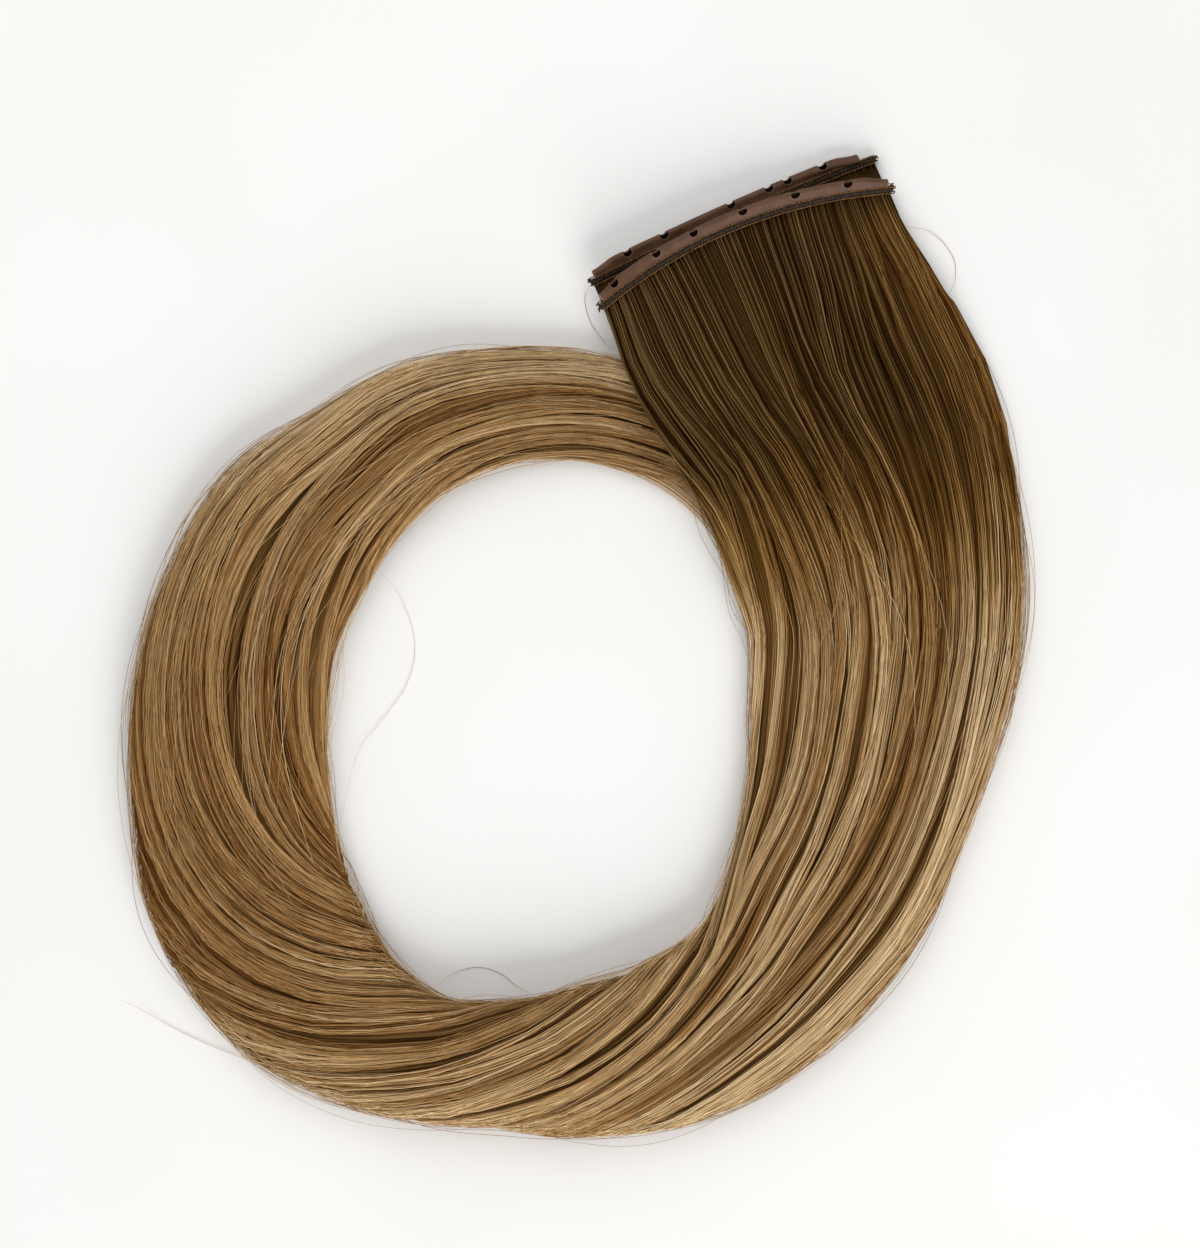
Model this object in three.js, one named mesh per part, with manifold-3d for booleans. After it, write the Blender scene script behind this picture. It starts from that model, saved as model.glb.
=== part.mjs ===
// A butterfly weft hair extension, lying on a table with its hair coiled once round.
// Two sewn rows lie one on the other. Each row has a folded tape with round holes along its fold, a stitched track
// that holds the hair roots, and its own hair. The hair of both rows runs together in one twisting bundle, which
// passes down one side, round under itself and back, so that its tips end below the rows.
// Millimetres, +Z up, the table at Z = 0. +Y points from the middle of the coil towards the rows.
import * as THREE from "three";
import { mergeVertices } from "three/addons/utils/BufferGeometryUtils.js";
import Module from "manifold-3d";

const wasm = await Module();
wasm.setup();

// Driving dimensions of a row, in millimetres.
const TRACK_HEIGHT = 1.65;
const TRACK_CHAMFER = 0.45;
const TAPE_HEIGHT = 2.9;
const TAPE_WALL = 0.6;
const TAPE_SLOT = 0.5;
const TAPE_END_HEIGHT = 1.8;
const TAPE_END_LENGTH = 7;
const HOLE_DIAMETER = 2.6;
const HOLE_BELOW_FOLD = 0.6;
const SEAM_GAP = 0.3;
const ROW_THICKNESS = 2 * TAPE_WALL + TAPE_SLOT;

// Driving dimensions of the hair, in millimetres.
const LOCKS_PER_ROW = 7;
const LOCK_GROOVE = 0.1; // of the bundle's thickness
const ROOT_GROOVE = 0.2;
const ROWS_APART = 1.1;
const SPLIT_BULGE = 0.1;
const FLATTENED = 0.6;
const BUNDLE_POWER = 2.5;

// How finely the curved faces are cut.
const POINTS_PER_LOCK = 4;
const SPLIT_POINTS = 5;
const SECTIONS_PER_STATION = 2;
const TAPE_SECTIONS = 22;
const FOLD_STEPS = 4;
const HOLE_SIDES = 14;

// The two rows: where the middle of the hair line lies, how the row is turned, how its strip leans at its two ends,
// the radius that it bows to, the length of its track, where its tape begins and ends, how far the fold opens at its
// right end, and how far from the middle each hole is.
const ROWS = [
  {
    name: "front_row", upper: true, x: 42.8, y: 111.3, z: 7.6, yaw: 22.7, leans: [23, 39], roll: 4.5, radius: 137.5,
    trackLength: 86, tapeEnds: [-41.2, 41.6], foldOpening: 0, holes: [-36.4, -22.9, -11.8, 2.3, 16.8, 31],
  },
  {
    name: "back_row", upper: false, x: 41.7, y: 113.8, z: 3.9, yaw: 24, leans: [24, 8], roll: 3.4, radius: 900,
    trackLength: 84, tapeEnds: [-40.2, 37.4], foldOpening: 1.8, holes: [-29.8, -18.9, 0.9, 12, 17.4, 27.6],
  },
];

// The coiled bundle, one row for each station from the rows to the tips. x and y are the middle of the bundle. lift
// is the clearance under its outer side, bank the degrees by which its inner side is raised, and twist the degrees
// by which the locks have turned about the middle of the bundle.
const STATIONS = [
  { x: 44.1, y: 106.1, width: 84.7, thick: 5.0, lift: 2.0, bank: 4.0, twist: 0 },
  { x: 53.3, y: 86.9, width: 84.2, thick: 8.0, lift: 1.2, bank: 6.0, twist: 0 },
  { x: 69.7, y: 58.2, width: 85.2, thick: 8.5, lift: 0.2, bank: 5.5, twist: 0 },
  { x: 78.3, y: 31.8, width: 81.8, thick: 9.0, lift: 0.0, bank: 3.2, twist: 0 },
  { x: 82.6, y: 5.0, width: 74.9, thick: 10.0, lift: 0.0, bank: 1.0, twist: 0 },
  { x: 79.0, y: -23.6, width: 66.8, thick: 11.0, lift: 0.0, bank: 0.0, twist: 0 },
  { x: 74.6, y: -44.6, width: 60.4, thick: 12.0, lift: 0.0, bank: 0.0, twist: 0 },
  { x: 66.3, y: -67.4, width: 55.4, thick: 13.0, lift: 0.0, bank: 0.0, twist: -4 },
  { x: 50.2, y: -91.0, width: 47.2, thick: 14.5, lift: 0.0, bank: 0.0, twist: -28 },
  { x: 26.5, y: -105.9, width: 45.0, thick: 15.5, lift: 0.0, bank: 0.0, twist: -72 },
  { x: 0.5, y: -111.8, width: 40.4, thick: 16.0, lift: 0.0, bank: 0.0, twist: -118 },
  { x: -19.6, y: -112.1, width: 34.0, thick: 17.0, lift: 0.0, bank: 0.0, twist: -152 },
  { x: -37.5, y: -111.3, width: 33.4, thick: 17.0, lift: 0.0, bank: 0.0, twist: -180 },
  { x: -56.6, y: -103.9, width: 40.7, thick: 15.5, lift: 0.0, bank: 0.0, twist: -220 },
  { x: -73.6, y: -90.6, width: 49.0, thick: 14.0, lift: 0.0, bank: 0.0, twist: -254 },
  { x: -87.5, y: -67.8, width: 53.9, thick: 13.5, lift: 0.0, bank: 0.0, twist: -280 },
  { x: -93.4, y: -39.5, width: 53.0, thick: 13.5, lift: 0.0, bank: 0.0, twist: -294 },
  { x: -92.3, y: -11.3, width: 52.1, thick: 13.5, lift: 0.0, bank: 0.0, twist: -303 },
  { x: -86.2, y: 11.9, width: 50.3, thick: 13.5, lift: 0.0, bank: 0.0, twist: -311 },
  { x: -75.2, y: 30.9, width: 48.5, thick: 13.0, lift: 0.0, bank: 0.0, twist: -319 },
  { x: -60.1, y: 45.3, width: 40.0, thick: 12.5, lift: 0.0, bank: 0.0, twist: -327 },
  { x: -42.1, y: 58.0, width: 36.3, thick: 12.0, lift: 0.0, bank: 0.0, twist: -335 },
  { x: -18.2, y: 64.0, width: 30.4, thick: 10.5, lift: 0.0, bank: 0.0, twist: -344 },
  { x: 4.7, y: 63.7, width: 29.2, thick: 8.6, lift: 0.0, bank: 0.0, twist: -352 },
  { x: 25.3, y: 56.9, width: 28.0, thick: 7.0, lift: 0.0, bank: 0.0, twist: -359 },
  { x: 40.7, y: 46.3, width: 19.0, thick: 4.6, lift: 0.0, bank: 0.0, twist: -364 },
];

const UP = new THREE.Vector3(0, 0, 1);
const radians = THREE.MathUtils.degToRad;
const { lerp, smoothstep } = THREE.MathUtils;

const MATERIALS = {
  tape: new THREE.MeshStandardMaterial({ color: 0x5d4638, roughness: 0.5, metalness: 0 }),
  track: new THREE.MeshStandardMaterial({ color: 0x35291d, roughness: 0.85, metalness: 0 }),
  hair: new THREE.MeshStandardMaterial({ color: 0x8a683f, roughness: 0.4, metalness: 0 }),
};

// Closed meshes and solids

/** Triangles that close a flat ring of points, wound the same way round as the ring. */
function capTriangles(ring) {
  const normal = new THREE.Vector3();
  ring.forEach((point, k) => normal.add(point.clone().cross(ring[(k + 1) % ring.length])));
  normal.normalize();
  const across = ring[ring.length - 1].clone().sub(ring[0]).projectOnPlane(normal).normalize();
  const along = normal.clone().cross(across);
  const flat = ring.map((point) => new THREE.Vector2(point.dot(across), point.dot(along)));
  return THREE.ShapeUtils.triangulateShape(flat, []);
}

/** A closed mesh through rings of equal length, each anticlockwise about the way that the rings advance. */
function loft(rings, mirroredDiagonals = false) {
  const count = rings[0].length;
  const positions = rings.flat().flatMap((point) => point.toArray());
  const index = [];
  for (let i = 0; i + 1 < rings.length; i++) {
    for (let k = 0; k < count; k++) {
      const next = (k + 1) % count;
      const [a, b, c, d] = [i * count + k, i * count + next, (i + 1) * count + next, (i + 1) * count + k];
      index.push(...(mirroredDiagonals ? [a, b, d, b, c, d] : [a, b, c, a, c, d]));
    }
  }
  const last = (rings.length - 1) * count;
  for (const [a, b, c] of capTriangles(rings[0])) index.push(a, c, b);
  for (const [a, b, c] of capTriangles(rings[rings.length - 1])) index.push(last + a, last + b, last + c);
  const geometry = new THREE.BufferGeometry();
  geometry.setAttribute("position", new THREE.Float32BufferAttribute(positions, 3));
  geometry.setIndex(index);
  return geometry;
}

/** A closed three.js geometry as a solid that can be joined and cut. */
function solidOf(geometry) {
  const bare = geometry.clone();
  bare.deleteAttribute("normal");
  bare.deleteAttribute("uv");
  const merged = mergeVertices(bare, 1e-4);
  return new wasm.Manifold(new wasm.Mesh({
    numProp: 3,
    vertProperties: new Float32Array(merged.attributes.position.array),
    triVerts: new Uint32Array(merged.index.array),
  }));
}

/** A solid as a three.js geometry with flat faces. */
function geometryOf(solid) {
  const mesh = solid.getMesh();
  const geometry = new THREE.BufferGeometry();
  geometry.setAttribute("position", new THREE.Float32BufferAttribute(mesh.vertProperties, mesh.numProp));
  geometry.setIndex([...mesh.triVerts]);
  geometry.computeVertexNormals();
  return geometry;
}

function namedMesh(name, geometry, material) {
  const mesh = new THREE.Mesh(geometry, material);
  mesh.name = name;
  return mesh;
}

// The sewn rows, each in its own frame: +X along the row, +Y from the hair line towards the fold, +Z up

/** How far a row's strip leans back from level, which changes from its left end to its right end. */
function leanAt(row, along) {
  const [left, right] = row.leans.map(radians);
  return lerp(left, right, smoothstep(along, -row.trackLength / 2, row.trackLength / 2));
}

/** The point of a row that is along it from its middle, height up its leaning strip and out from the strip. */
function rowPoint(row, along, height, out) {
  const angle = along / row.radius;
  const lean = leanAt(row, along);
  const reach = row.radius + height * Math.cos(lean) - out * Math.sin(lean);
  const rise = height * Math.sin(lean) + out * Math.cos(lean);
  return new THREE.Vector3(reach * Math.sin(angle), reach * Math.cos(angle) - row.radius, rise);
}

/** Rings along a row whose outlines are made by outlineAt(along) as points of [height, out]. */
function rowRings(row, [first, last], sections, outlineAt) {
  return Array.from({ length: sections + 1 }, (_, i) => {
    const along = lerp(first, last, i / sections);
    return outlineAt(along).map(([height, out]) => rowPoint(row, along, height, out));
  });
}

/** The height of the tape's fold above its open edges, which drops towards both ends. */
function tapeHeight(row, along) {
  const [first, last] = row.tapeEnds;
  const toEnd = Math.min(along - first, last - along);
  return lerp(TAPE_END_HEIGHT, TAPE_HEIGHT, smoothstep(toEnd, 0, TAPE_END_LENGTH));
}

/** The outline of the folded tape: two walls from their open edges at the track up to a round fold. */
function tapeOutline(row, along) {
  const foot = TRACK_HEIGHT + SEAM_GAP;
  const fold = foot + tapeHeight(row, along);
  const opening = row.foldOpening * smoothstep(along, 0, row.tapeEnds[1]);
  const outer = (ROW_THICKNESS + opening) / 2;
  const inner = outer - TAPE_WALL;
  const centre = fold - outer;
  const arc = (radius) => Array.from({ length: FOLD_STEPS + 1 }, (_, i) => {
    const angle = Math.PI * (0.5 - i / FOLD_STEPS);
    return [centre + radius * Math.cos(angle), radius * Math.sin(angle)];
  });
  const outside = [[foot, ROW_THICKNESS / 2], ...arc(outer), [foot, -ROW_THICKNESS / 2]];
  const inside = [[foot, -TAPE_SLOT / 2], ...arc(inner).reverse(), [foot, TAPE_SLOT / 2]];
  return [...outside, ...inside].reverse();
}

/** The folded tape with its round holes, which cut through the fold and both walls. */
function tapeGeometry(row) {
  const rings = rowRings(row, row.tapeEnds, TAPE_SECTIONS, (along) => tapeOutline(row, along));
  let tape = solidOf(loft(rings));
  for (const along of row.holes) {
    const height = TRACK_HEIGHT + SEAM_GAP + tapeHeight(row, along) - HOLE_BELOW_FOLD;
    const punch = new THREE.CylinderGeometry(HOLE_DIAMETER / 2, HOLE_DIAMETER / 2, 6 * ROW_THICKNESS, HOLE_SIDES);
    punch.rotateX(Math.PI / 2 + leanAt(row, along));
    punch.rotateZ(-along / row.radius);
    punch.translate(...rowPoint(row, along, height, 0).toArray());
    tape = tape.subtract(solidOf(punch));
  }
  return geometryOf(tape);
}

/** The stitched track: a flat strip with its long edges taken off. */
function trackGeometry(row) {
  const side = ROW_THICKNESS / 2;
  const outline = [
    [TRACK_CHAMFER, side], [0, side - TRACK_CHAMFER], [0, TRACK_CHAMFER - side], [TRACK_CHAMFER, -side],
    [TRACK_HEIGHT - TRACK_CHAMFER, -side], [TRACK_HEIGHT, TRACK_CHAMFER - side],
    [TRACK_HEIGHT, side - TRACK_CHAMFER], [TRACK_HEIGHT - TRACK_CHAMFER, side],
  ];
  const half = row.trackLength / 2;
  return loft(rowRings(row, [-half, half], TAPE_SECTIONS, () => outline));
}

/** A row's group, placed and turned, which holds its tape and its track. */
function sewnRow(row) {
  const group = new THREE.Group();
  group.position.set(row.x, row.y, row.z);
  group.rotation.set(0, radians(row.roll), radians(row.yaw), "ZYX");
  group.add(namedMesh(`${row.name}_tape`, tapeGeometry(row), MATERIALS.tape));
  group.add(namedMesh(`${row.name}_track`, trackGeometry(row), MATERIALS.track));
  group.updateMatrix();
  return group;
}

// The hair

/** A smooth curve through three columns of the table of stations. */
function columns(...names) {
  const rows = STATIONS.map((station) => new THREE.Vector3(...names.map((name) => station[name] ?? 0)));
  return new THREE.CatmullRomCurve3(rows, false, "catmullrom");
}

const MIDDLE = columns("x", "y", "none");
const SIZES = columns("width", "thick", "lift");
const TURNS = columns("bank", "twist", "none");

/** The bundle at a share from 0 at the rows to 1 at the tips: its sizes, its middle and its two axes. */
function bundleAt(share) {
  const [width, thick, lift] = SIZES.getPoint(share).toArray();
  const [bank, twist] = TURNS.getPoint(share).toArray();
  const flow = MIDDLE.getTangent(share);
  const level = UP.clone().cross(flow);
  const outward = level.clone().applyAxisAngle(flow, radians(-bank));
  const upward = UP.clone().applyAxisAngle(flow, radians(-bank));
  const middle = MIDDLE.getPoint(share);
  middle.z = lift - FLATTENED + thick / 2 + (width / 2) * Math.sin(radians(bank));
  return { width, thick, twist: radians(twist), middle, outward, upward };
}

const signedPower = (value, power) => Math.sign(value) * Math.abs(value) ** power;

/** The point [across, up] of the bundle's outline at an angle, drawn in by a depth along its normal. */
function outlinePoint(bundle, angle, depth) {
  const [c, s] = [Math.cos(angle), Math.sin(angle)];
  const across = (bundle.width / 2) * signedPower(c, 2 / BUNDLE_POWER);
  const up = (bundle.thick / 2) * signedPower(s, 2 / BUNDLE_POWER);
  const normal = new THREE.Vector2(c / bundle.width, s / bundle.thick).normalize();
  return new THREE.Vector2(across - depth * normal.x, up - depth * normal.y);
}

/** How far each point round a row's half of the bundle lies in a groove, from 0 on a lock to 1 between two. */
const GROOVES = Array.from({ length: LOCKS_PER_ROW * POINTS_PER_LOCK + 1 }, (_, k) => (
  1 - Math.abs(Math.sin((Math.PI * k) / POINTS_PER_LOCK)) ** 0.7
));
const LAST = GROOVES.length - 1;

/** The shares of the way back across the split, between the last point of the locks and the first. */
const SPLIT_SHARES = Array.from({ length: SPLIT_POINTS }, (_, j) => (j + 1) / (SPLIT_POINTS + 1));

/** One row's half of the bundle at a share of its length, as a ring that keeps clear of the other row's half. */
function halfRing(row, share) {
  const bundle = bundleAt(share);
  const start = bundle.twist + (row.upper ? 0 : Math.PI);
  const side = outlinePoint(bundle, start, 0);
  const inwards = new THREE.Vector2(-side.y, side.x).normalize();
  const locks = GROOVES.map((groove, k) => {
    const point = outlinePoint(bundle, start + (Math.PI * k) / LAST, LOCK_GROOVE * bundle.thick * groove);
    const needed = ROWS_APART / 2 + 0.05 * Math.min(k, LAST - k);
    return point.addScaledVector(inwards, Math.max(0, needed - point.dot(inwards)));
  });
  const split = SPLIT_SHARES.map((way) => (
    locks[LAST].clone().lerp(locks[0], way).addScaledVector(inwards, -SPLIT_BULGE * Math.sin(Math.PI * way))
  ));
  return [...locks, ...split].map((point) => bundle.middle.clone()
    .addScaledVector(bundle.outward, point.x)
    .addScaledVector(bundle.upward, point.y));
}

/** The ring where a row's hair leaves its track, as flat as the track and bowed with it. */
function rootRing(row, group) {
  const side = row.upper ? 1 : -1;
  const half = ROW_THICKNESS / 2;
  const locks = GROOVES.map((groove, k) => {
    const angle = (Math.PI * k) / LAST;
    const crown = ROW_THICKNESS * Math.sqrt(Math.sin(angle)) - half;
    return [Math.cos(angle), crown - ROOT_GROOVE * groove];
  });
  const split = SPLIT_SHARES.map((way) => [2 * way - 1, -half]);
  return [...locks, ...split].map(([along, out]) => (
    rowPoint(row, (side * row.trackLength * along) / 2, -SEAM_GAP, side * out).applyMatrix4(group.matrix)
  ));
}

/** A row's hair: locks side by side round its half of the bundle, flat where they rest on the table. */
function hairGeometry(row, group) {
  const sections = (STATIONS.length - 1) * SECTIONS_PER_STATION;
  const root = rootRing(row, group);
  const rings = Array.from({ length: sections + 1 }, (_, i) => {
    const ring = halfRing(row, i / sections);
    const settled = smoothstep(i, 0, SECTIONS_PER_STATION);
    return ring.map((point, k) => root[k].clone().lerp(point, settled));
  });
  const table = new THREE.BoxGeometry(1000, 1000, 100).translate(0, 0, -50);
  return geometryOf(solidOf(loft(rings, !row.upper)).subtract(solidOf(table)));
}

const weft = new THREE.Group();
for (const row of ROWS) {
  const group = sewnRow(row);
  weft.add(group, namedMesh(`${row.name}_hair`, hairGeometry(row, group), MATERIALS.hair));
}

export default weft;
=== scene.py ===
"""A butterfly weft hair extension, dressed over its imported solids.

Two sewn rows lie one on the other. Each has a folded tape with round holes along its fold, a
stitched track and its own hair. The hair of both rows runs together in one twisting coil on the
table. Lengths are in millimetres and angles in degrees until a mesh is made. Every mesh is in
metres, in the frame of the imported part.
"""

import logging
import math
from collections.abc import Callable, Sequence
from dataclasses import dataclass
from enum import Enum

import bmesh
import bpy
import numpy as np
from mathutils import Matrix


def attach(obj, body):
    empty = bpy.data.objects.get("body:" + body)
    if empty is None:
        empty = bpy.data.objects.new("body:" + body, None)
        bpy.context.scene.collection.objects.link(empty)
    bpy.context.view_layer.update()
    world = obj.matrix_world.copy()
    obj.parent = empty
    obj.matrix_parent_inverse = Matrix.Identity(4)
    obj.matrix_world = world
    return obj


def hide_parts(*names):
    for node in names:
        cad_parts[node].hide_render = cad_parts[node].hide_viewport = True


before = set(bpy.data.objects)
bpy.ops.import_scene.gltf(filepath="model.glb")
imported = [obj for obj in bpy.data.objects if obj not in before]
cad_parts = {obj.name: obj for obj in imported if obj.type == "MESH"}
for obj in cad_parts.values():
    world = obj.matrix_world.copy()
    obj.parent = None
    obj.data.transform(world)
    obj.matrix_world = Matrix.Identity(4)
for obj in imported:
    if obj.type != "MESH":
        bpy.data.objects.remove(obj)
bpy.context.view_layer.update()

LOG = logging.getLogger("weft")
Array = np.ndarray
Colour = tuple[int, int, int]
Tones = tuple[tuple[float, Colour], ...]
Span = tuple[float, float]
Piece = bpy.types.Object
Material = bpy.types.Material
Socket = bpy.types.NodeSocket

MM = 0.001
SHORTEST = 1e-12
BODY = "root"
BAKE_MAP = "OFBake"
BAKE_MARGIN = 0.15
TONE = "tone"
LIGHTENED = "lightened"
GOLDEN_SHARE = (math.sqrt(5) - 1) / 2
UP = np.array([0.0, 0.0, 1.0])
LEVEL = np.array([1.0, 1.0, 0.0])
HAIR_SEED = 5

# The coiled bundle from the rows to the tips. Each row holds the middle's x and y, the width, the
# thickness, the clearance under the outer side, the degrees by which the inner side is raised, and
# the degrees of twist.
STATIONS = (
    (44.1, 106.1, 84.7, 5.0, 2.0, 4.0, 0),
    (53.3, 86.9, 84.2, 8.0, 1.2, 6.0, 0),
    (69.7, 58.2, 85.2, 8.5, 0.2, 5.5, 0),
    (78.3, 31.8, 81.8, 9.0, 0.0, 3.2, 0),
    (82.6, 5.0, 74.9, 10.0, 0.0, 1.0, 0),
    (79.0, -23.6, 66.8, 11.0, 0.0, 0.0, 0),
    (74.6, -44.6, 60.4, 12.0, 0.0, 0.0, 0),
    (66.3, -67.4, 55.4, 13.0, 0.0, 0.0, -4),
    (50.2, -91.0, 47.2, 14.5, 0.0, 0.0, -28),
    (26.5, -105.9, 45.0, 15.5, 0.0, 0.0, -72),
    (0.5, -111.8, 40.4, 16.0, 0.0, 0.0, -118),
    (-19.6, -112.1, 34.0, 17.0, 0.0, 0.0, -152),
    (-37.5, -111.3, 33.4, 17.0, 0.0, 0.0, -180),
    (-56.6, -103.9, 40.7, 15.5, 0.0, 0.0, -220),
    (-73.6, -90.6, 49.0, 14.0, 0.0, 0.0, -254),
    (-87.5, -67.8, 53.9, 13.5, 0.0, 0.0, -280),
    (-93.4, -39.5, 53.0, 13.5, 0.0, 0.0, -294),
    (-92.3, -11.3, 52.1, 13.5, 0.0, 0.0, -303),
    (-86.2, 11.9, 50.3, 13.5, 0.0, 0.0, -311),
    (-75.2, 30.9, 48.5, 13.0, 0.0, 0.0, -319),
    (-60.1, 45.3, 40.0, 12.5, 0.0, 0.0, -327),
    (-42.1, 58.0, 36.3, 12.0, 0.0, 0.0, -335),
    (-18.2, 64.0, 30.4, 10.5, 0.0, 0.0, -344),
    (4.7, 63.7, 29.2, 8.6, 0.0, 0.0, -352),
    (25.3, 56.9, 28.0, 7.0, 0.0, 0.0, -359),
    (40.7, 46.3, 19.0, 4.6, 0.0, 0.0, -364),
)


class Slot(Enum):
    """The record's material slots."""

    TAPE = "weft_tape"
    TRACK = "stitched_track"
    HAIR = "hair"


class Row(Enum):
    """The two sewn rows, by the start of their nodes' names."""

    FRONT = "front_row"
    BACK = "back_row"

    def node(self, part: str) -> str:
        """The name of one of this row's nodes or pieces."""
        return f"{self.value}_{part}"


# Small sums


def smoothstep(value: Array | float, start: float, end: float) -> Array:
    """Rise evenly from 0 at start to 1 at end.

    Args:
        value: Where to read the rise.
        start: The value at which it begins.
        end: The value at which it is complete.

    Returns:
        The rise, from 0 to 1, in the shape of value.
    """
    way = np.clip((np.asarray(value, dtype=float) - start) / (end - start), 0.0, 1.0)
    return way * way * (3.0 - 2.0 * way)


def signed_power(value: Array, power: float) -> Array:
    """Raise the size of each value to a power and keep its sign."""
    return np.sign(value) * np.abs(value) ** power


def unit(vectors: Array) -> Array:
    """Scale vectors along the last axis to a length of 1."""
    return vectors / np.maximum(np.linalg.norm(vectors, axis=-1, keepdims=True), SHORTEST)


def curve_through(rows: Array, places: Array) -> Array:
    """Run a smooth curve through rows of values.

    Args:
        rows: The values that the curve passes through.
        places: Where to read it, from 0 at the first row to 1 at the last.

    Returns:
        The values at each of the places.
    """
    padded = np.vstack([2 * rows[0] - rows[1], rows, 2 * rows[-1] - rows[-2]])
    steps = places * (len(rows) - 1)
    index = np.minimum(steps.astype(int), len(rows) - 2)
    way = (steps - index)[:, None]
    before, start, end, after = (padded[index + step] for step in range(4))
    leave, arrive = (end - before) / 2, (after - start) / 2
    cubic = 2 * start - 2 * end + leave + arrive
    square = 3 * end - 3 * start - 2 * leave - arrive
    return cubic * way**3 + square * way**2 + leave * way + start


def paint(colour: Colour) -> tuple[float, float, float, float]:
    """Turn a colour of display values into the linear values that a shader takes.

    Args:
        colour: Red, green and blue from 0 to 255.

    Returns:
        Linear red, green and blue, and an alpha of 1.
    """
    values = [channel / 255 for channel in colour]
    red, green, blue = (v / 12.92 if v <= 0.04045 else ((v + 0.055) / 1.055) ** 2.4 for v in values)
    return (red, green, blue, 1.0)


# Work on objects


def deselect_all() -> None:
    """Leave edit mode and select nothing."""
    if bpy.context.object and bpy.context.object.mode != "OBJECT":
        bpy.ops.object.mode_set(mode="OBJECT")
    bpy.ops.object.select_all(action="DESELECT")


def select_only(piece: Piece) -> None:
    """Make one object the active and only selected one."""
    deselect_all()
    piece.select_set(True)
    bpy.context.view_layer.objects.active = piece


def apply_modifier(piece: Piece, kind: str, **settings: object) -> None:
    """Add a modifier to a piece and apply it.

    Args:
        piece: The object to change.
        kind: Blender's name for the modifier.
        settings: Values for the modifier's own properties.
    """
    select_only(piece)
    bpy.ops.object.modifier_add(type=kind)
    modifier = piece.modifiers[-1]
    for name, value in settings.items():
        setattr(modifier, name, value)
    bpy.ops.object.modifier_apply(modifier=modifier.name)


def select_edges(piece: Piece, wanted: Callable[[bmesh.types.BMEdge], bool]) -> None:
    """Select edges of the mesh in edit mode, and nothing else.

    Args:
        piece: The object that is in edit mode.
        wanted: Says for an edge whether it is selected.
    """
    bpy.ops.mesh.select_mode(type="EDGE")
    bpy.ops.mesh.select_all(action="DESELECT")
    mesh = bmesh.from_edit_mesh(piece.data)
    for edge in mesh.edges:
        edge.select_set(wanted(edge))
    bmesh.update_edit_mesh(piece.data)


def move_points(piece: Piece, move: Callable[[Array], Array]) -> None:
    """Move every point of a piece's mesh.

    Args:
        piece: The object whose mesh changes.
        move: Takes the points as rows of x, y and z, and gives them back moved.
    """
    points = np.empty(len(piece.data.vertices) * 3)
    piece.data.vertices.foreach_get("co", points)
    piece.data.vertices.foreach_set("co", move(points.reshape(-1, 3)).ravel())
    piece.data.update()


def finish_piece(
    piece: Piece, name: str, materials: Sequence[Material], nodes: Sequence[str] = ()
) -> None:
    """Name and dress a piece, let it ride on the part, and report it.

    Args:
        piece: The finished object.
        name: Its name.
        materials: Its materials, in the order of its faces' numbers.
        nodes: The CAD nodes that it stands for.
    """
    piece.name = name
    piece.data.name = name
    while len(piece.data.materials) < len(materials):
        piece.data.materials.append(None)
    for index, material in enumerate(materials):
        piece.data.materials[index] = material
    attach(piece, BODY)
    if nodes:
        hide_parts(*nodes)
    piece.data.calc_loop_triangles()
    LOG.info("%s: %d triangles", name, len(piece.data.loop_triangles))


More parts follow.
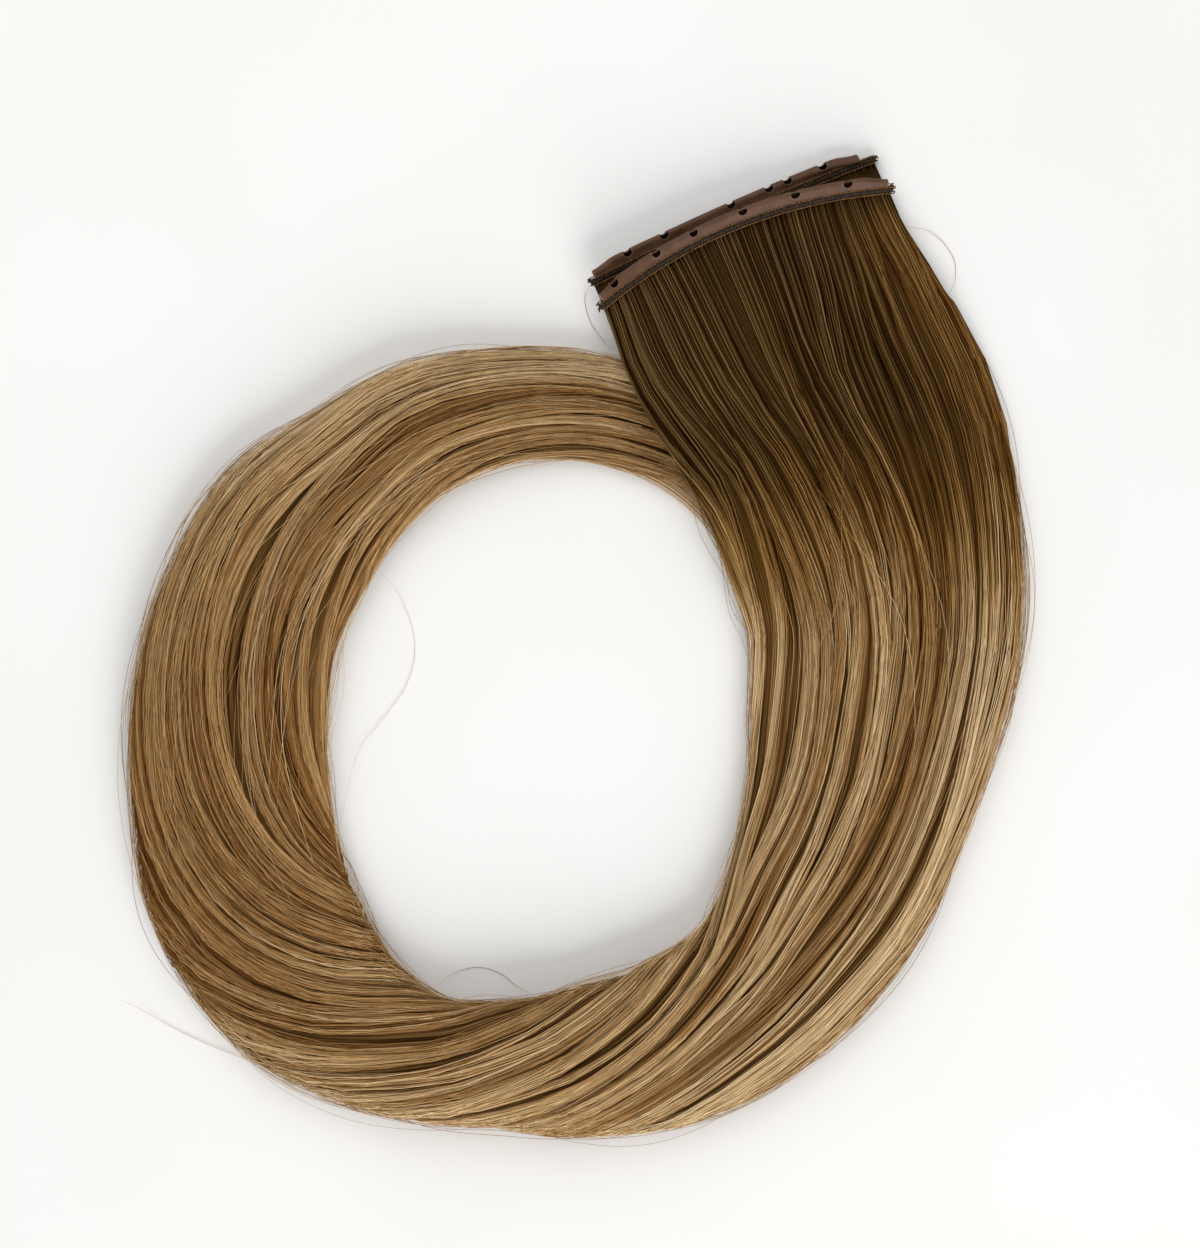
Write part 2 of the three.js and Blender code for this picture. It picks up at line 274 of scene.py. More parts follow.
@dataclass
class Tubes:
    """Many tubes of equal ring counts, joined in one closed mesh.

    centres holds a row of points in metres for each tube, radii the radius at each point, and normals
    a direction across the tube at each point. A closed tube runs back into its first ring, and an
    open one has flat ends.
    """

    centres: Array
    radii: Array
    normals: Array
    sides: int = 3
    closed: bool = False

    def build(self, name: str, marks: dict[str, Array] | None = None) -> Piece:
        """Make the mesh, with a bake map that has one column for each tube.

        Args:
            name: The object's name.
            marks: Values for each point of each tube, kept as attributes of the mesh.

        Returns:
            The new object.
        """
        count, rings = self.centres.shape[:2]
        points = self._points()
        corners, starts = self._faces(count, rings)
        mesh = bpy.data.meshes.new(name)
        mesh.vertices.add(len(points))
        mesh.vertices.foreach_set("co", points.ravel())
        mesh.loops.add(len(corners))
        mesh.loops.foreach_set("vertex_index", corners)
        mesh.polygons.add(len(starts))
        mesh.polygons.foreach_set("loop_start", starts)
        mesh.polygons.foreach_set("use_smooth", np.ones(len(starts), dtype=bool))
        mesh.update(calc_edges=True)
        self._map(mesh, corners, count, rings)
        for mark, values in (marks or {}).items():
            attribute = mesh.attributes.new(mark, "FLOAT", "POINT")
            spread = np.repeat(values.ravel(), self.sides)
            attribute.data.foreach_set("value", spread.astype(np.float32))
        mesh.validate()
        piece = bpy.data.objects.new(name, mesh)
        bpy.context.scene.collection.objects.link(piece)
        return piece

    def _points(self) -> Array:
        """Lay the rings of points round the centres."""
        if self.closed:
            along = np.roll(self.centres, -1, axis=1) - np.roll(self.centres, 1, axis=1)
        else:
            along = np.gradient(self.centres, axis=1)
        along = unit(along)
        across = unit(self.normals - along * np.sum(self.normals * along, axis=-1, keepdims=True))
        beside = np.cross(along, across)
        angles = 2 * math.pi * np.arange(self.sides) / self.sides
        sine, cosine = np.sin(angles)[:, None], np.cos(angles)[:, None]
        ring = across[:, :, None] * cosine + beside[:, :, None] * sine
        return (self.centres[:, :, None] + ring * self.radii[:, :, None, None]).reshape(-1, 3)

    def _faces(self, count: int, rings: int) -> tuple[Array, Array]:
        """List the corners of the side and end faces, and where each face starts in that list."""
        sides = self.sides
        spans = rings if self.closed else rings - 1
        tube, ring, side = np.indices((count, spans, sides))
        base = (tube * rings + ring) * sides
        over = (tube * rings + (ring + 1) % rings) * sides
        turn = (side + 1) % sides
        walls = np.stack([base + side, base + turn, over + turn, over + side], axis=-1).reshape(-1)
        starts = np.arange(0, len(walls), 4)
        if self.closed:
            return walls, starts
        first = np.arange(count)[:, None] * rings * sides + np.arange(sides)[None, ::-1]
        last = (np.arange(count)[:, None] * rings + rings - 1) * sides + np.arange(sides)[None, :]
        ends = np.concatenate([first.ravel(), last.ravel()])
        end_starts = len(walls) + np.arange(0, len(ends), sides)
        return np.concatenate([walls, ends]), np.concatenate([starts, end_starts])

    def _map(self, mesh: bpy.types.Mesh, corners: Array, count: int, rings: int) -> None:
        """Give each tube its own column of the bake map, with its length along the column."""
        tube = corners // (rings * self.sides)
        ring = corners // self.sides % rings
        side = corners % self.sides
        across = (tube + BAKE_MARGIN + (1 - 2 * BAKE_MARGIN) * side / self.sides) / count
        places = np.stack([across, (ring + 0.5) / rings], axis=-1)
        layer = mesh.uv_layers.new(name=BAKE_MAP)
        layer.uv.foreach_set("vector", places.astype(np.float32).ravel())


# Finishes


class NodeSheet:
    """The node tree of one new material, with short calls for the nodes that the finishes share."""

    def __init__(self, name: str) -> None:
        """Start a material that has its shader and its output."""
        self.material = bpy.data.materials.new(name)
        self.material.use_nodes = True
        self.tree = self.material.node_tree
        self.shader = next(node for node in self.tree.nodes if node.type == "BSDF_PRINCIPLED")

    def node(self, kind: str) -> bpy.types.Node:
        """Add a node of a kind."""
        return self.tree.nodes.new(kind)

    def link(self, source: Socket, target: Socket) -> None:
        """Join two sockets."""
        self.tree.links.new(source, target)

    def attribute(self, name: str) -> Socket:
        """Read one of the mesh's own values."""
        node = self.node("ShaderNodeAttribute")
        node.attribute_name = name
        return node.outputs["Fac"]

    def noise(self, scale: float, detail: float, along_map: Span | None = None) -> Socket:
        """Add noise on Object coordinates or on the bake map.

        Args:
            scale: Its scale for each metre, or for each unit of the map.
            detail: How many finer layers it has.
            along_map: How much closer it runs along the map's two axes, where it lies on the map.

        Returns:
            The noise, from 0 to 1.
        """
        noise = self.node("ShaderNodeTexNoise")
        noise.inputs["Scale"].default_value = scale
        noise.inputs["Detail"].default_value = detail
        if along_map is None:
            self.link(self.node("ShaderNodeTexCoord").outputs["Object"], noise.inputs["Vector"])
            return noise.outputs["Fac"]
        place = self.node("ShaderNodeUVMap")
        place.uv_map = BAKE_MAP
        mapping = self.node("ShaderNodeMapping")
        mapping.inputs["Scale"].default_value = (*along_map, 1.0)
        self.link(place.outputs["UV"], mapping.inputs["Vector"])
        self.link(mapping.outputs["Vector"], noise.inputs["Vector"])
        return noise.outputs["Fac"]

    def ramp(self, factor: Socket, stops: Tones) -> Socket:
        """Turn a value into a colour.

        Args:
            factor: The value, from 0 to 1.
            stops: Pairs of a value and its colour, in rising order.

        Returns:
            The colour.
        """
        node = self.node("ShaderNodeValToRGB")
        elements = node.color_ramp.elements
        while len(elements) < len(stops):
            elements.new(0.5)
        for element, (place, colour) in zip(elements, stops):
            element.position = place
            element.color = paint(colour)
        self.link(factor, node.inputs["Fac"])
        return node.outputs["Color"]

    def mix(self, factor: Socket, first: Socket, second: Socket) -> Socket:
        """Mix two colours by a value from 0 to 1."""
        node = self.node("ShaderNodeMix")
        node.data_type = "RGBA"
        node.clamp_factor = True
        self.link(factor, node.inputs[0])
        self.link(first, node.inputs[6])
        self.link(second, node.inputs[7])
        return node.outputs[2]

    def shade(self, colour: Socket, factor: Socket, low: float, high: float) -> Socket:
        """Darken or lighten a colour by a value.

        Args:
            colour: The colour to change.
            factor: The value, from 0 to 1.
            low: What the colour is multiplied by where the value is 0.
            high: What it is multiplied by where the value is 1.

        Returns:
            The changed colour.
        """
        strength = self.span(factor, low, high)
        node = self.node("ShaderNodeVectorMath")
        node.operation = "SCALE"
        self.link(colour, node.inputs[0])
        self.link(strength, node.inputs["Scale"])
        return node.outputs["Vector"]

    def span(self, factor: Socket, low: float, high: float) -> Socket:
        """Spread a value from 0 to 1 between two others."""
        node = self.node("ShaderNodeMapRange")
        node.inputs["To Min"].default_value = low
        node.inputs["To Max"].default_value = high
        self.link(factor, node.inputs["Value"])
        return node.outputs["Result"]

    def bump(self, height: Socket, strength: float, depth: float) -> None:
        """Raise the surface by a value.

        Args:
            height: The value.
            strength: How strongly it shows.
            depth: The height in metres that a value of 1 stands for.
        """
        node = self.node("ShaderNodeBump")
        node.inputs["Strength"].default_value = strength
        node.inputs["Distance"].default_value = depth
        self.link(height, node.inputs["Height"])
        self.link(node.outputs["Normal"], self.shader.inputs["Normal"])

    def coat(self, colour: Socket, roughness: Socket, gloss: float) -> Material:
        """Give the shader its colour, roughness and gloss.

        Args:
            colour: The surface's colour.
            roughness: How rough it is, from 0 to 1.
            gloss: How strongly it shines, from 0 to 1.

        Returns:
            The finished material.
        """
        self.link(colour, self.shader.inputs["Base Color"])
        self.link(roughness, self.shader.inputs["Roughness"])
        self.shader.inputs["Specular IOR Level"].default_value = gloss
        return self.material


@dataclass(frozen=True)
class HairFinish:
    """Hair that is dark at the root and turns to mixed blonde strands along its length."""

    name: str
    root_tones: Tones
    golden_tones: Tones
    length_tones: Tones
    shades: Span = (0.84, 1.16)
    roughness: Span = (0.34, 0.48)
    gloss: float = 0.13
    gloss_tint: tuple[float, float, float] = (0.95, 0.66, 0.36)
    patch_scale: float = 140.0
    patch_detail: float = 3.0
    below_lines: Span = (700.0, 9.0)
    below_detail: float = 2.0
    below_tones: Span = (-0.6, 1.6)
    # How far the hair below is darkened: painted shade between and under the top strands.
    below_painted_shade: Span = (0.272, 0.68)
    below_bump: float = 0.8
    below_depth: float = 0.0006

    def material(self) -> Material:
        """Make the material, which reads each strand's tone and how far it has lightened."""
        sheet = NodeSheet(self.name)
        patches = sheet.noise(self.patch_scale, self.patch_detail)
        colour = sheet.shade(self._colour(sheet, sheet.attribute(TONE)), patches, *self.shades)
        return self._coat(sheet, colour, patches)

    def lower_material(self) -> Material:
        """Make the darker material of the hair below the top strands, with lines along the bundle, as
        painted shade.
        """
        sheet = NodeSheet(f"{self.name}_below")
        fine = sheet.noise(1.0, self.below_detail, self.below_lines)
        tone = sheet.span(fine, *self.below_tones)
        # Darkened here as painted shade between and under the top strands.
        colour = sheet.shade(self._colour(sheet, tone), tone, *self.below_painted_shade)
        sheet.bump(fine, self.below_bump, self.below_depth)
        return self._coat(sheet, colour, fine)

    def _colour(self, sheet: NodeSheet, tone: Socket) -> Socket:
        """Mix a tone's root, golden and length colours by how far the hair has lightened."""
        lightened = sheet.attribute(LIGHTENED)
        root = sheet.ramp(tone, self.root_tones)
        golden = sheet.ramp(tone, self.golden_tones)
        length = sheet.ramp(tone, self.length_tones)
        first_half, second_half = sheet.span(lightened, 0.0, 2.0), sheet.span(lightened, -1.0, 1.0)
        return sheet.mix(second_half, sheet.mix(first_half, root, golden), length)

    def _coat(self, sheet: NodeSheet, colour: Socket, uneven: Socket) -> Material:
        """Finish a material with tinted gloss, and a roughness that follows an uneven value."""
        sheet.shader.inputs["Specular Tint"].default_value = (*self.gloss_tint, 1.0)
        return sheet.coat(colour, sheet.span(uneven, *self.roughness), self.gloss)


@dataclass(frozen=True)
class TapeFinish:
    """Satin brown tape with a faint grain and soft blotches."""

    name: str
    tones: Tones
    gloss: float = 0.22
    roughness: Span = (0.42, 0.58)
    blotch_scale: float = 260.0
    blotch_detail: float = 4.0
    grain_scale: float = 2600.0
    grain_detail: float = 2.0
    grain_shades: Span = (0.9, 1.1)
    grain_bump: float = 0.35
    grain_depth: float = 0.00004

    def material(self) -> Material:
        """Make the material."""
        sheet = NodeSheet(self.name)
        blotches = sheet.noise(self.blotch_scale, self.blotch_detail)
        grain = sheet.noise(self.grain_scale, self.grain_detail)
        colour = sheet.shade(sheet.ramp(blotches, self.tones), grain, *self.grain_shades)
        sheet.bump(grain, self.grain_bump, self.grain_depth)
        return sheet.coat(colour, sheet.span(blotches, *self.roughness), self.gloss)


@dataclass(frozen=True)
class ThreadFinish:
    """Sewing thread whose fibres show as fine light and dark specks."""

    name: str
    tones: Tones
    gloss: float = 0.15
    roughness: Span = (0.5, 0.75)
    speck_scale: float = 1500.0
    speck_detail: float = 3.0
    fibre_scale: float = 5200.0
    fibre_detail: float = 1.0
    fibre_shades: Span = (0.8, 1.2)
    fibre_bump: float = 0.5
    fibre_depth: float = 0.00005

    def material(self) -> Material:
        """Make the material."""
        sheet = NodeSheet(self.name)
        specks = sheet.noise(self.speck_scale, self.speck_detail)
        fibres = sheet.noise(self.fibre_scale, self.fibre_detail)
        colour = sheet.shade(sheet.ramp(specks, self.tones), fibres, *self.fibre_shades)
        sheet.bump(fibres, self.fibre_bump, self.fibre_depth)
        return sheet.coat(colour, sheet.span(fibres, *self.roughness), self.gloss)


@dataclass(frozen=True)
class TableFinish:
    """A smooth white table top with a barely uneven tone."""

    name: str = "white_table"
    tones: Tones = ((0.3, (240, 239, 236)), (0.7, (244, 243, 241)))
    gloss: float = 0.2
    roughness: Span = (0.55, 0.7)
    cloud_scale: float = 9.0
    cloud_detail: float = 2.0

    def material(self) -> Material:
        """Make the material."""
        sheet = NodeSheet(self.name)
        cloud = sheet.noise(self.cloud_scale, self.cloud_detail)
        colour = sheet.ramp(cloud, self.tones)
        return sheet.coat(colour, sheet.span(cloud, *self.roughness), self.gloss)


# The sewn rows


@dataclass(frozen=True)
class RowLayout:
    """Where a sewn row lies, how it bows and leans, and where its holes are.

    x, y and z are the middle of its hair line. The row bows to a radius, and its strip leans up from
    the table by an angle that changes evenly from its left end to its right end. tape_ends and holes
    are distances along the row from its middle, to the right.
    """

    row: Row
    x: float
    y: float
    z: float
    yaw: float
    roll: float
    radius: float
    lean_left: float
    lean_right: float
    track_length: float
    tape_ends: Span
    fold_opening: float
    holes: tuple[float, ...]
    step: float = 0.01

    def place(self, along: Array, height: Array, out: Array) -> Array:
        """Put points of the row's own strip in the frame of the part.

        Args:
            along: How far along the row from its middle, to the right.
            height: How far up the strip from the hair line towards the fold.
            out: How far out from the middle of the strip, upwards.

        Returns:
            The points in metres.
        """
        along, height, out = np.broadcast_arrays(along, height, out)
        share = smoothstep(along, -self.track_length / 2, self.track_length / 2)
        lean = np.radians(self.lean_left + (self.lean_right - self.lean_left) * share)
        reach = self.radius + height * np.cos(lean) - out * np.sin(lean)
        rise = height * np.sin(lean) + out * np.cos(lean)
        bow = along / self.radius
        right, forward = reach * np.sin(bow), reach * np.cos(bow) - self.radius
        roll, yaw = math.radians(self.roll), math.radians(self.yaw)
        level = right * math.cos(roll) + rise * math.sin(roll)
        up = rise * math.cos(roll) - right * math.sin(roll)
        east = level * math.cos(yaw) - forward * math.sin(yaw)
        north = level * math.sin(yaw) + forward * math.cos(yaw)
        return np.stack([east + self.x, north + self.y, up + self.z], axis=-1) * MM

    def place_points(self, points: Array) -> Array:
        """Put rows of along, height and out in the frame of the part."""
        return self.place(points[..., 0], points[..., 1], points[..., 2])

    def place_directions(self, points: Array, directions: Array) -> Array:
        """Turn directions at points of the strip into directions of length 1 in the frame of the part."""
        return unit(self.place_points(points + directions * self.step) - self.place_points(points))


FRONT = RowLayout(
    row=Row.FRONT, x=42.8, y=111.3, z=7.6, yaw=22.7, roll=4.5, radius=137.5, lean_left=23, lean_right=39,
    track_length=86, tape_ends=(-41.2, 41.6), fold_opening=0, holes=(-36.4, -22.9, -11.8, 2.3, 16.8, 31),
)
BACK = RowLayout(
    row=Row.BACK, x=41.7, y=113.8, z=3.9, yaw=24, roll=3.4, radius=900, lean_left=24, lean_right=8,
    track_length=84, tape_ends=(-40.2, 37.4), fold_opening=1.8, holes=(-29.8, -18.9, 0.9, 12, 17.4, 27.6),
)


@dataclass
class FoldedTape:
    """The tape folded over the top of a row, with round holes cut through its fold.

    A hole reaches far down the upper wall and only a little way down the lower one, whose dark inside
    shows through: the lining is painted dark brown as painted shade in the fold.
    """

    layout: RowLayout
    finish: TapeFinish
    shaded_lining_finish: TapeFinish
    rim_highlight_finish: TapeFinish
    foot: float = 1.95
    height: float = 2.9
    end_height: float = 1.8
    end_length: float = 7.0
    wall: float = 0.6
    thickness: float = 1.7
    hole_diameter: float = 2.6
    hole_below_fold: float = 0.6
    punch_sides: int = 32
    punch_depth: float = 6.0
    punch_overlap: float = 0.02
    puff: float = 0.12
    ripple: float = 0.05
    ripple_pitches: Span = (0.31, 0.83)
    ripple_shift: float = 1.1
    quick_ripple: float = 0.7
    rim_radius: float = 0.07
    rim_sides: int = 6
    rim_points: tuple[int, int] = (25, 15)
    end_sides: int = 8
    end_points: int = 26
    wall_share: float = 0.34
    lengthwise: int = 110
    crosswise: int = 22
    smooth_below: float = 40.0

    def build(self) -> None:
        """Make the tape and the raised rims of its holes and ends."""
        row = self.layout.row
        tape = self._strip()
        self._punch(tape, self.hole_below_fold, 1)
        self._punch(tape, -self.hole_below_fold, -1)
        move_points(tape, self.layout.place_points)
        select_only(tape)
        bpy.ops.object.shade_smooth_by_angle(angle=math.radians(self.smooth_below))
        # The lining's dark brown is painted shade inside the fold and its holes.
        materials = (self.finish.material(), self.shaded_lining_finish.material())
        finish_piece(tape, row.node("folded_tape"), materials, [row.node("tape")])
        # The rims' lighter brown is a painted highlight on the edges of the holes and the cut ends.
        highlighted_rim = (self.rim_highlight_finish.material(),)
        finish_piece(self._hole_rims(), row.node("hole_rims"), highlighted_rim)
        finish_piece(self._end_rims(), row.node("cut_ends"), highlighted_rim)

    def fold(self, along: Array) -> Array:
        """How high up the strip the fold is, which drops towards both ends."""
        first, last = self.layout.tape_ends
        rise = smoothstep(np.minimum(along - first, last - along), 0, self.end_length)
        return self.foot + self.end_height + (self.height - self.end_height) * rise

    def outer(self, along: Array) -> Array:
        """The radius of the fold's outside, which grows where the fold stands open."""
        opening = self.layout.fold_opening * smoothstep(along, 0, self.layout.tape_ends[1])
        return (self.thickness + opening) / 2 + self.puff

    def surface(self, along: Array, way: Array, inset: float) -> tuple[Array, Array]:
        """Follow the folded tape from its upper open edge over the fold to its lower open edge.

        Args:
            along: How far along the row.
            way: How far round the fold, from 0 to 1.
            inset: How far inside the outer face.

        Returns:
            The height up the strip and the distance out from it.
        """
        outer = self.outer(along)
        centre = self.fold(along) - outer
        radius = outer - inset
        foot_out = self.thickness / 2 - inset
        side = np.where(way < 0.5, 1.0, -1.0)
        up_wall = np.clip(np.minimum(way, 1 - way) / self.wall_share, 0, 1)
        turn = np.clip((way - self.wall_share) / (1 - 2 * self.wall_share), 0, 1) * math.pi
        on_wall = up_wall < 1
        wall_height = self.foot + (centre - self.foot) * up_wall
        wall_out = side * (foot_out + (radius - foot_out) * up_wall**2)
        height = np.where(on_wall, wall_height, centre + radius * np.sin(turn))
        out = np.where(on_wall, wall_out, radius * np.cos(turn))
        slow, quick = self.ripple_pitches
        wave = np.sin(along * slow) + self.quick_ripple * np.sin(along * quick + self.ripple_shift)
        return height, out + self.ripple * wave * np.sin(math.pi / 2 * up_wall)

    def _strip(self) -> Piece:
        """Fold a flat grid into the tape's shape and give it its wall and its lining."""
        deselect_all()
        bpy.ops.mesh.primitive_grid_add(
            x_subdivisions=self.lengthwise, y_subdivisions=self.crosswise, size=2
        )
        tape = bpy.context.object
        first, last = self.layout.tape_ends

        def fold_over(points: Array) -> Array:
            """Bend the flat grid over the fold."""
            along = first + (last - first) * (points[:, 0] + 1) / 2
            height, out = self.surface(along, (points[:, 1] + 1) / 2, self.wall / 2)
            return np.stack([along, height, out], axis=-1)

        move_points(tape, fold_over)
        for name in ("face", "shaded_lining"):
            tape.data.materials.append(bpy.data.materials.new(name))
        apply_modifier(
            tape, "SOLIDIFY", thickness=self.wall, offset=0, use_even_offset=True, material_offset=1
        )
        return tape

    def _punch(self, tape: Piece, below: float, side: int) -> None:
        """Cut the round holes through one half of the fold.

        Args:
            tape: The folded tape.
            below: How far below the fold the middle of a hole is.
            side: 1 for the upper half and -1 for the lower half.
        """
        out = side * (self.punch_depth / 2 - self.punch_overlap)
        punches = []
        for along in self.layout.holes:
            height = float(self.fold(along)) - below
            bpy.ops.mesh.primitive_cylinder_add(
                vertices=self.punch_sides, radius=self.hole_diameter / 2, depth=self.punch_depth,
                location=(along, height, out),
            )
            punches.append(bpy.context.object)
        deselect_all()
        for punch in punches:
            punch.select_set(True)
        bpy.context.view_layer.objects.active = punches[0]
        bpy.ops.object.join()
        punch = bpy.context.object
        apply_modifier(tape, "BOOLEAN", operation="DIFFERENCE", object=punch, solver="EXACT")
        bpy.data.meshes.remove(punch.data)

    def _hole_rims(self) -> Piece:
        """Run a thin raised rim round each hole, down both walls and over the fold."""
        radius = self.hole_diameter / 2
        crossing = math.asin(self.hole_below_fold / radius)
        above_fold, below_fold = self.rim_points
        upper = np.linspace(math.pi - crossing, 2 * math.pi + crossing, above_fold)
        lower = np.linspace(2 * math.pi - crossing, math.pi + crossing, below_fold)[1:-1]
        angles = np.concatenate([upper, lower])
        side = np.concatenate([np.ones(len(upper)), -np.ones(len(lower))])
        loops, spokes = [], []
        for along in self.layout.holes:
            fold, outer = float(self.fold(along)), float(self.outer(along))
            height = np.minimum(fold - side * self.hole_below_fold + radius * np.sin(angles), fold)
            above = np.clip(height - (fold - outer), 0, outer)
            out = side * np.sqrt(np.maximum(outer**2 - above**2, 0.0))
            loops.append(np.stack([along + radius * np.cos(angles), height, out], axis=-1))
            spokes.append(np.stack([np.cos(angles), np.sin(angles), np.zeros_like(angles)], axis=-1))
        loops, spokes = np.array(loops), np.array(spokes)
        tubes = Tubes(
            self.layout.place_points(loops), np.full(loops.shape[:2], self.rim_radius * MM),
            self.layout.place_directions(loops, spokes), sides=self.rim_sides, closed=True,
        )
        return tubes.build("rims")

    def _end_rims(self) -> Piece:
        """Run a thin rim along the cut edge at both ends of the tape."""
        way = np.linspace(0, 1, self.end_points)
        ends = []
        for end in self.layout.tape_ends:
            along = np.full_like(way, end)
            height, out = self.surface(along, way, self.wall / 2)
            ends.append(np.stack([along, height, out], axis=-1))
        ends = np.array(ends)
        outwards = np.zeros_like(ends)
        outwards[..., 0] = 1
        radii = np.full(ends.shape[:2], self.wall / 2 * MM)
        normals = self.layout.place_directions(ends, outwards)
        return Tubes(self.layout.place_points(ends), radii, normals, sides=self.end_sides).build("ends")


@dataclass
class StitchedTrack:
    """The stitched band that holds the roots, with zigzag stitches, two seams and loose thread ends."""

    layout: RowLayout
    strip_finish: ThreadFinish
    zigzag_finish: ThreadFinish
    seam_finish: ThreadFinish
    height: float = 1.65
    thickness: float = 1.7
    chamfer: float = 0.45
    chamfer_steps: int = 3
    cuts: int = 60
    smooth_below: float = 50.0
    thread_tilt: float = 0.05
    zigzag_margin: float = 0.4
    zigzag_pitch: float = 1.2
    zigzag_radius: float = 0.14
    zigzag_sides: int = 4
    zigzag_points: int = 4
    zigzag_heights: Span = (0.3, 1.4)
    zigzag_stray: Span = (0.08, 0.12)
    zigzag_sunk: float = 0.04
    zigzag_arch: float = 0.16
    zigzag_swell: float = 0.25
    zigzag_radii: Span = (0.85, 1.15)
    seam_margin: float = 0.2
    seam_heights: Span = (-0.05, 1.82)
    seam_pitch: float = 0.95
    seam_radius: float = 0.17
    seam_sides: int = 5
    seam_points: int = 5
    seam_half: float = 0.62
    seam_slant: float = 0.16
    seam_stray: Span = (0.03, 0.04)
    seam_sunk: float = 0.02
    seam_arch: float = 0.14
    seam_bend: float = 2.4
    seam_taper: float = 0.75
    tails: int = 7
    tail_lengths: Span = (0.5, 1.3)
    tail_heights: Span = (0.1, 2.2)
    tail_out: float = 0.6
    tail_bends: Span = (0.35, 0.3)
    tail_radius: float = 0.24
    tail_radii: Span = (0.7, 1.2)
    tail_taper: float = 0.35
    tail_sides: int = 6
    tail_points: int = 7
    seed: int = 11

    def build(self) -> None:
        """Make the band, its stitches, its seams and its loose ends."""
        row = self.layout.row
        rng = np.random.default_rng(self.seed)
        band, dark = (self.strip_finish.material(),), (self.zigzag_finish.material(),)
        finish_piece(self._strip(), row.node("track_band"), band, [row.node("track")])
        finish_piece(self._zigzag(rng), row.node("zigzag_stitches"), dark)
        seam = (self.seam_finish.material(),)
        finish_piece(self._seams(rng), row.node("seam_threads"), seam)
        finish_piece(self._tails(rng), row.node("thread_ends"), dark)

    def _strip(self) -> Piece:
        """Shape a bar with rounded long edges and bend it along the row."""
        deselect_all()
        bpy.ops.mesh.primitive_cube_add(size=1)
        strip = bpy.context.object
        bpy.ops.object.mode_set(mode="EDIT")
        bpy.ops.transform.resize(value=(self.layout.track_length, self.height, self.thickness))
        bpy.ops.transform.translate(value=(0, self.height / 2, 0))

        def lengthwise(edge: bmesh.types.BMEdge) -> bool:
            """Whether an edge runs along the row."""
            return abs(edge.verts[0].co.x - edge.verts[1].co.x) > self.height

        select_edges(strip, lengthwise)
        bpy.ops.mesh.bevel(offset=self.chamfer, segments=self.chamfer_steps, affect="EDGES")
        select_edges(strip, lengthwise)
        bpy.ops.mesh.subdivide(number_cuts=self.cuts)
        bpy.ops.object.mode_set(mode="OBJECT")
        move_points(strip, self.layout.place_points)
        bpy.ops.object.shade_smooth_by_angle(angle=math.radians(self.smooth_below))
        return strip

    def _lay(self, paths: Array, radii: Array, sides: int, name: str) -> Piece:
        """Lay threads on the strip.

        Args:
            paths: Points of along, height and out for each thread.
            radii: The radius at each point.
            sides: How many sides a thread has.
            name: The new object's name.

        Returns:
            The joined threads.
        """
        outwards = np.zeros_like(paths)
        outwards[..., 2] = 1
        outwards[..., 1] = self.thread_tilt
        normals = self.layout.place_directions(paths, outwards)
        return Tubes(self.layout.place_points(paths), radii * MM, normals, sides=sides).build(name)

    def _zigzag(self, rng: np.random.Generator) -> Piece:
        """Sew slanted stitches to and fro across both faces of the band."""
        half = self.layout.track_length / 2 - self.zigzag_margin
        starts = np.arange(-half, half, self.zigzag_pitch / 2)
        way = np.linspace(0, 1, self.zigzag_points)
        arch = np.sin(math.pi * way)
        aside, upward = self.zigzag_stray
        paths = []
        for side in (1, -1):
            for number, start in enumerate(starts):
                low, high = (height + rng.uniform(-upward, upward) for height in self.zigzag_heights)
                climb = way if number % 2 == 0 else 1 - way
                along = start + way * self.zigzag_pitch / 2 + rng.uniform(-aside, aside)
                out = side * (self.thickness / 2 - self.zigzag_sunk + self.zigzag_arch * arch)
                paths.append(np.stack([along, low + (high - low) * climb, out], axis=-1))
        paths = np.array(paths)
        swell = 1 - self.zigzag_swell + self.zigzag_swell * arch
        radii = self.zigzag_radius * swell * rng.uniform(*self.zigzag_radii, (len(paths), 1))
        return self._lay(paths, radii, self.zigzag_sides, "zigzag")

    def _seams(self, rng: np.random.Generator) -> Piece:
        """Sew two running seams, each a line of slanted stitches that overlap like a twisted thread."""
        half = self.layout.track_length / 2 - self.seam_margin
        starts = np.arange(-half, half, self.seam_pitch)
        way = np.linspace(-self.seam_half, self.seam_half, self.seam_points)
        aside, upward = self.seam_stray
        paths = []
        for side in (1, -1):
            for height in self.seam_heights:
                for start in starts:
                    slant = self.seam_slant + rng.uniform(-aside, aside)
                    along = start + self.seam_pitch * (0.5 + way) + rng.uniform(-aside, aside)
                    rise = height + slant * way / self.seam_half + rng.uniform(-upward, upward)
                    arch = self.seam_arch * np.cos(way * self.seam_bend)
                    out = side * (self.thickness / 2 - self.seam_sunk + arch)
                    paths.append(np.stack([along, rise, out], axis=-1))
        paths = np.array(paths)
        taper = 1 - self.seam_taper * np.abs(way / self.seam_half) ** 3
        radii = self.seam_radius * taper * np.ones((len(paths), 1))
        return self._lay(paths, radii, self.seam_sides, "seams")

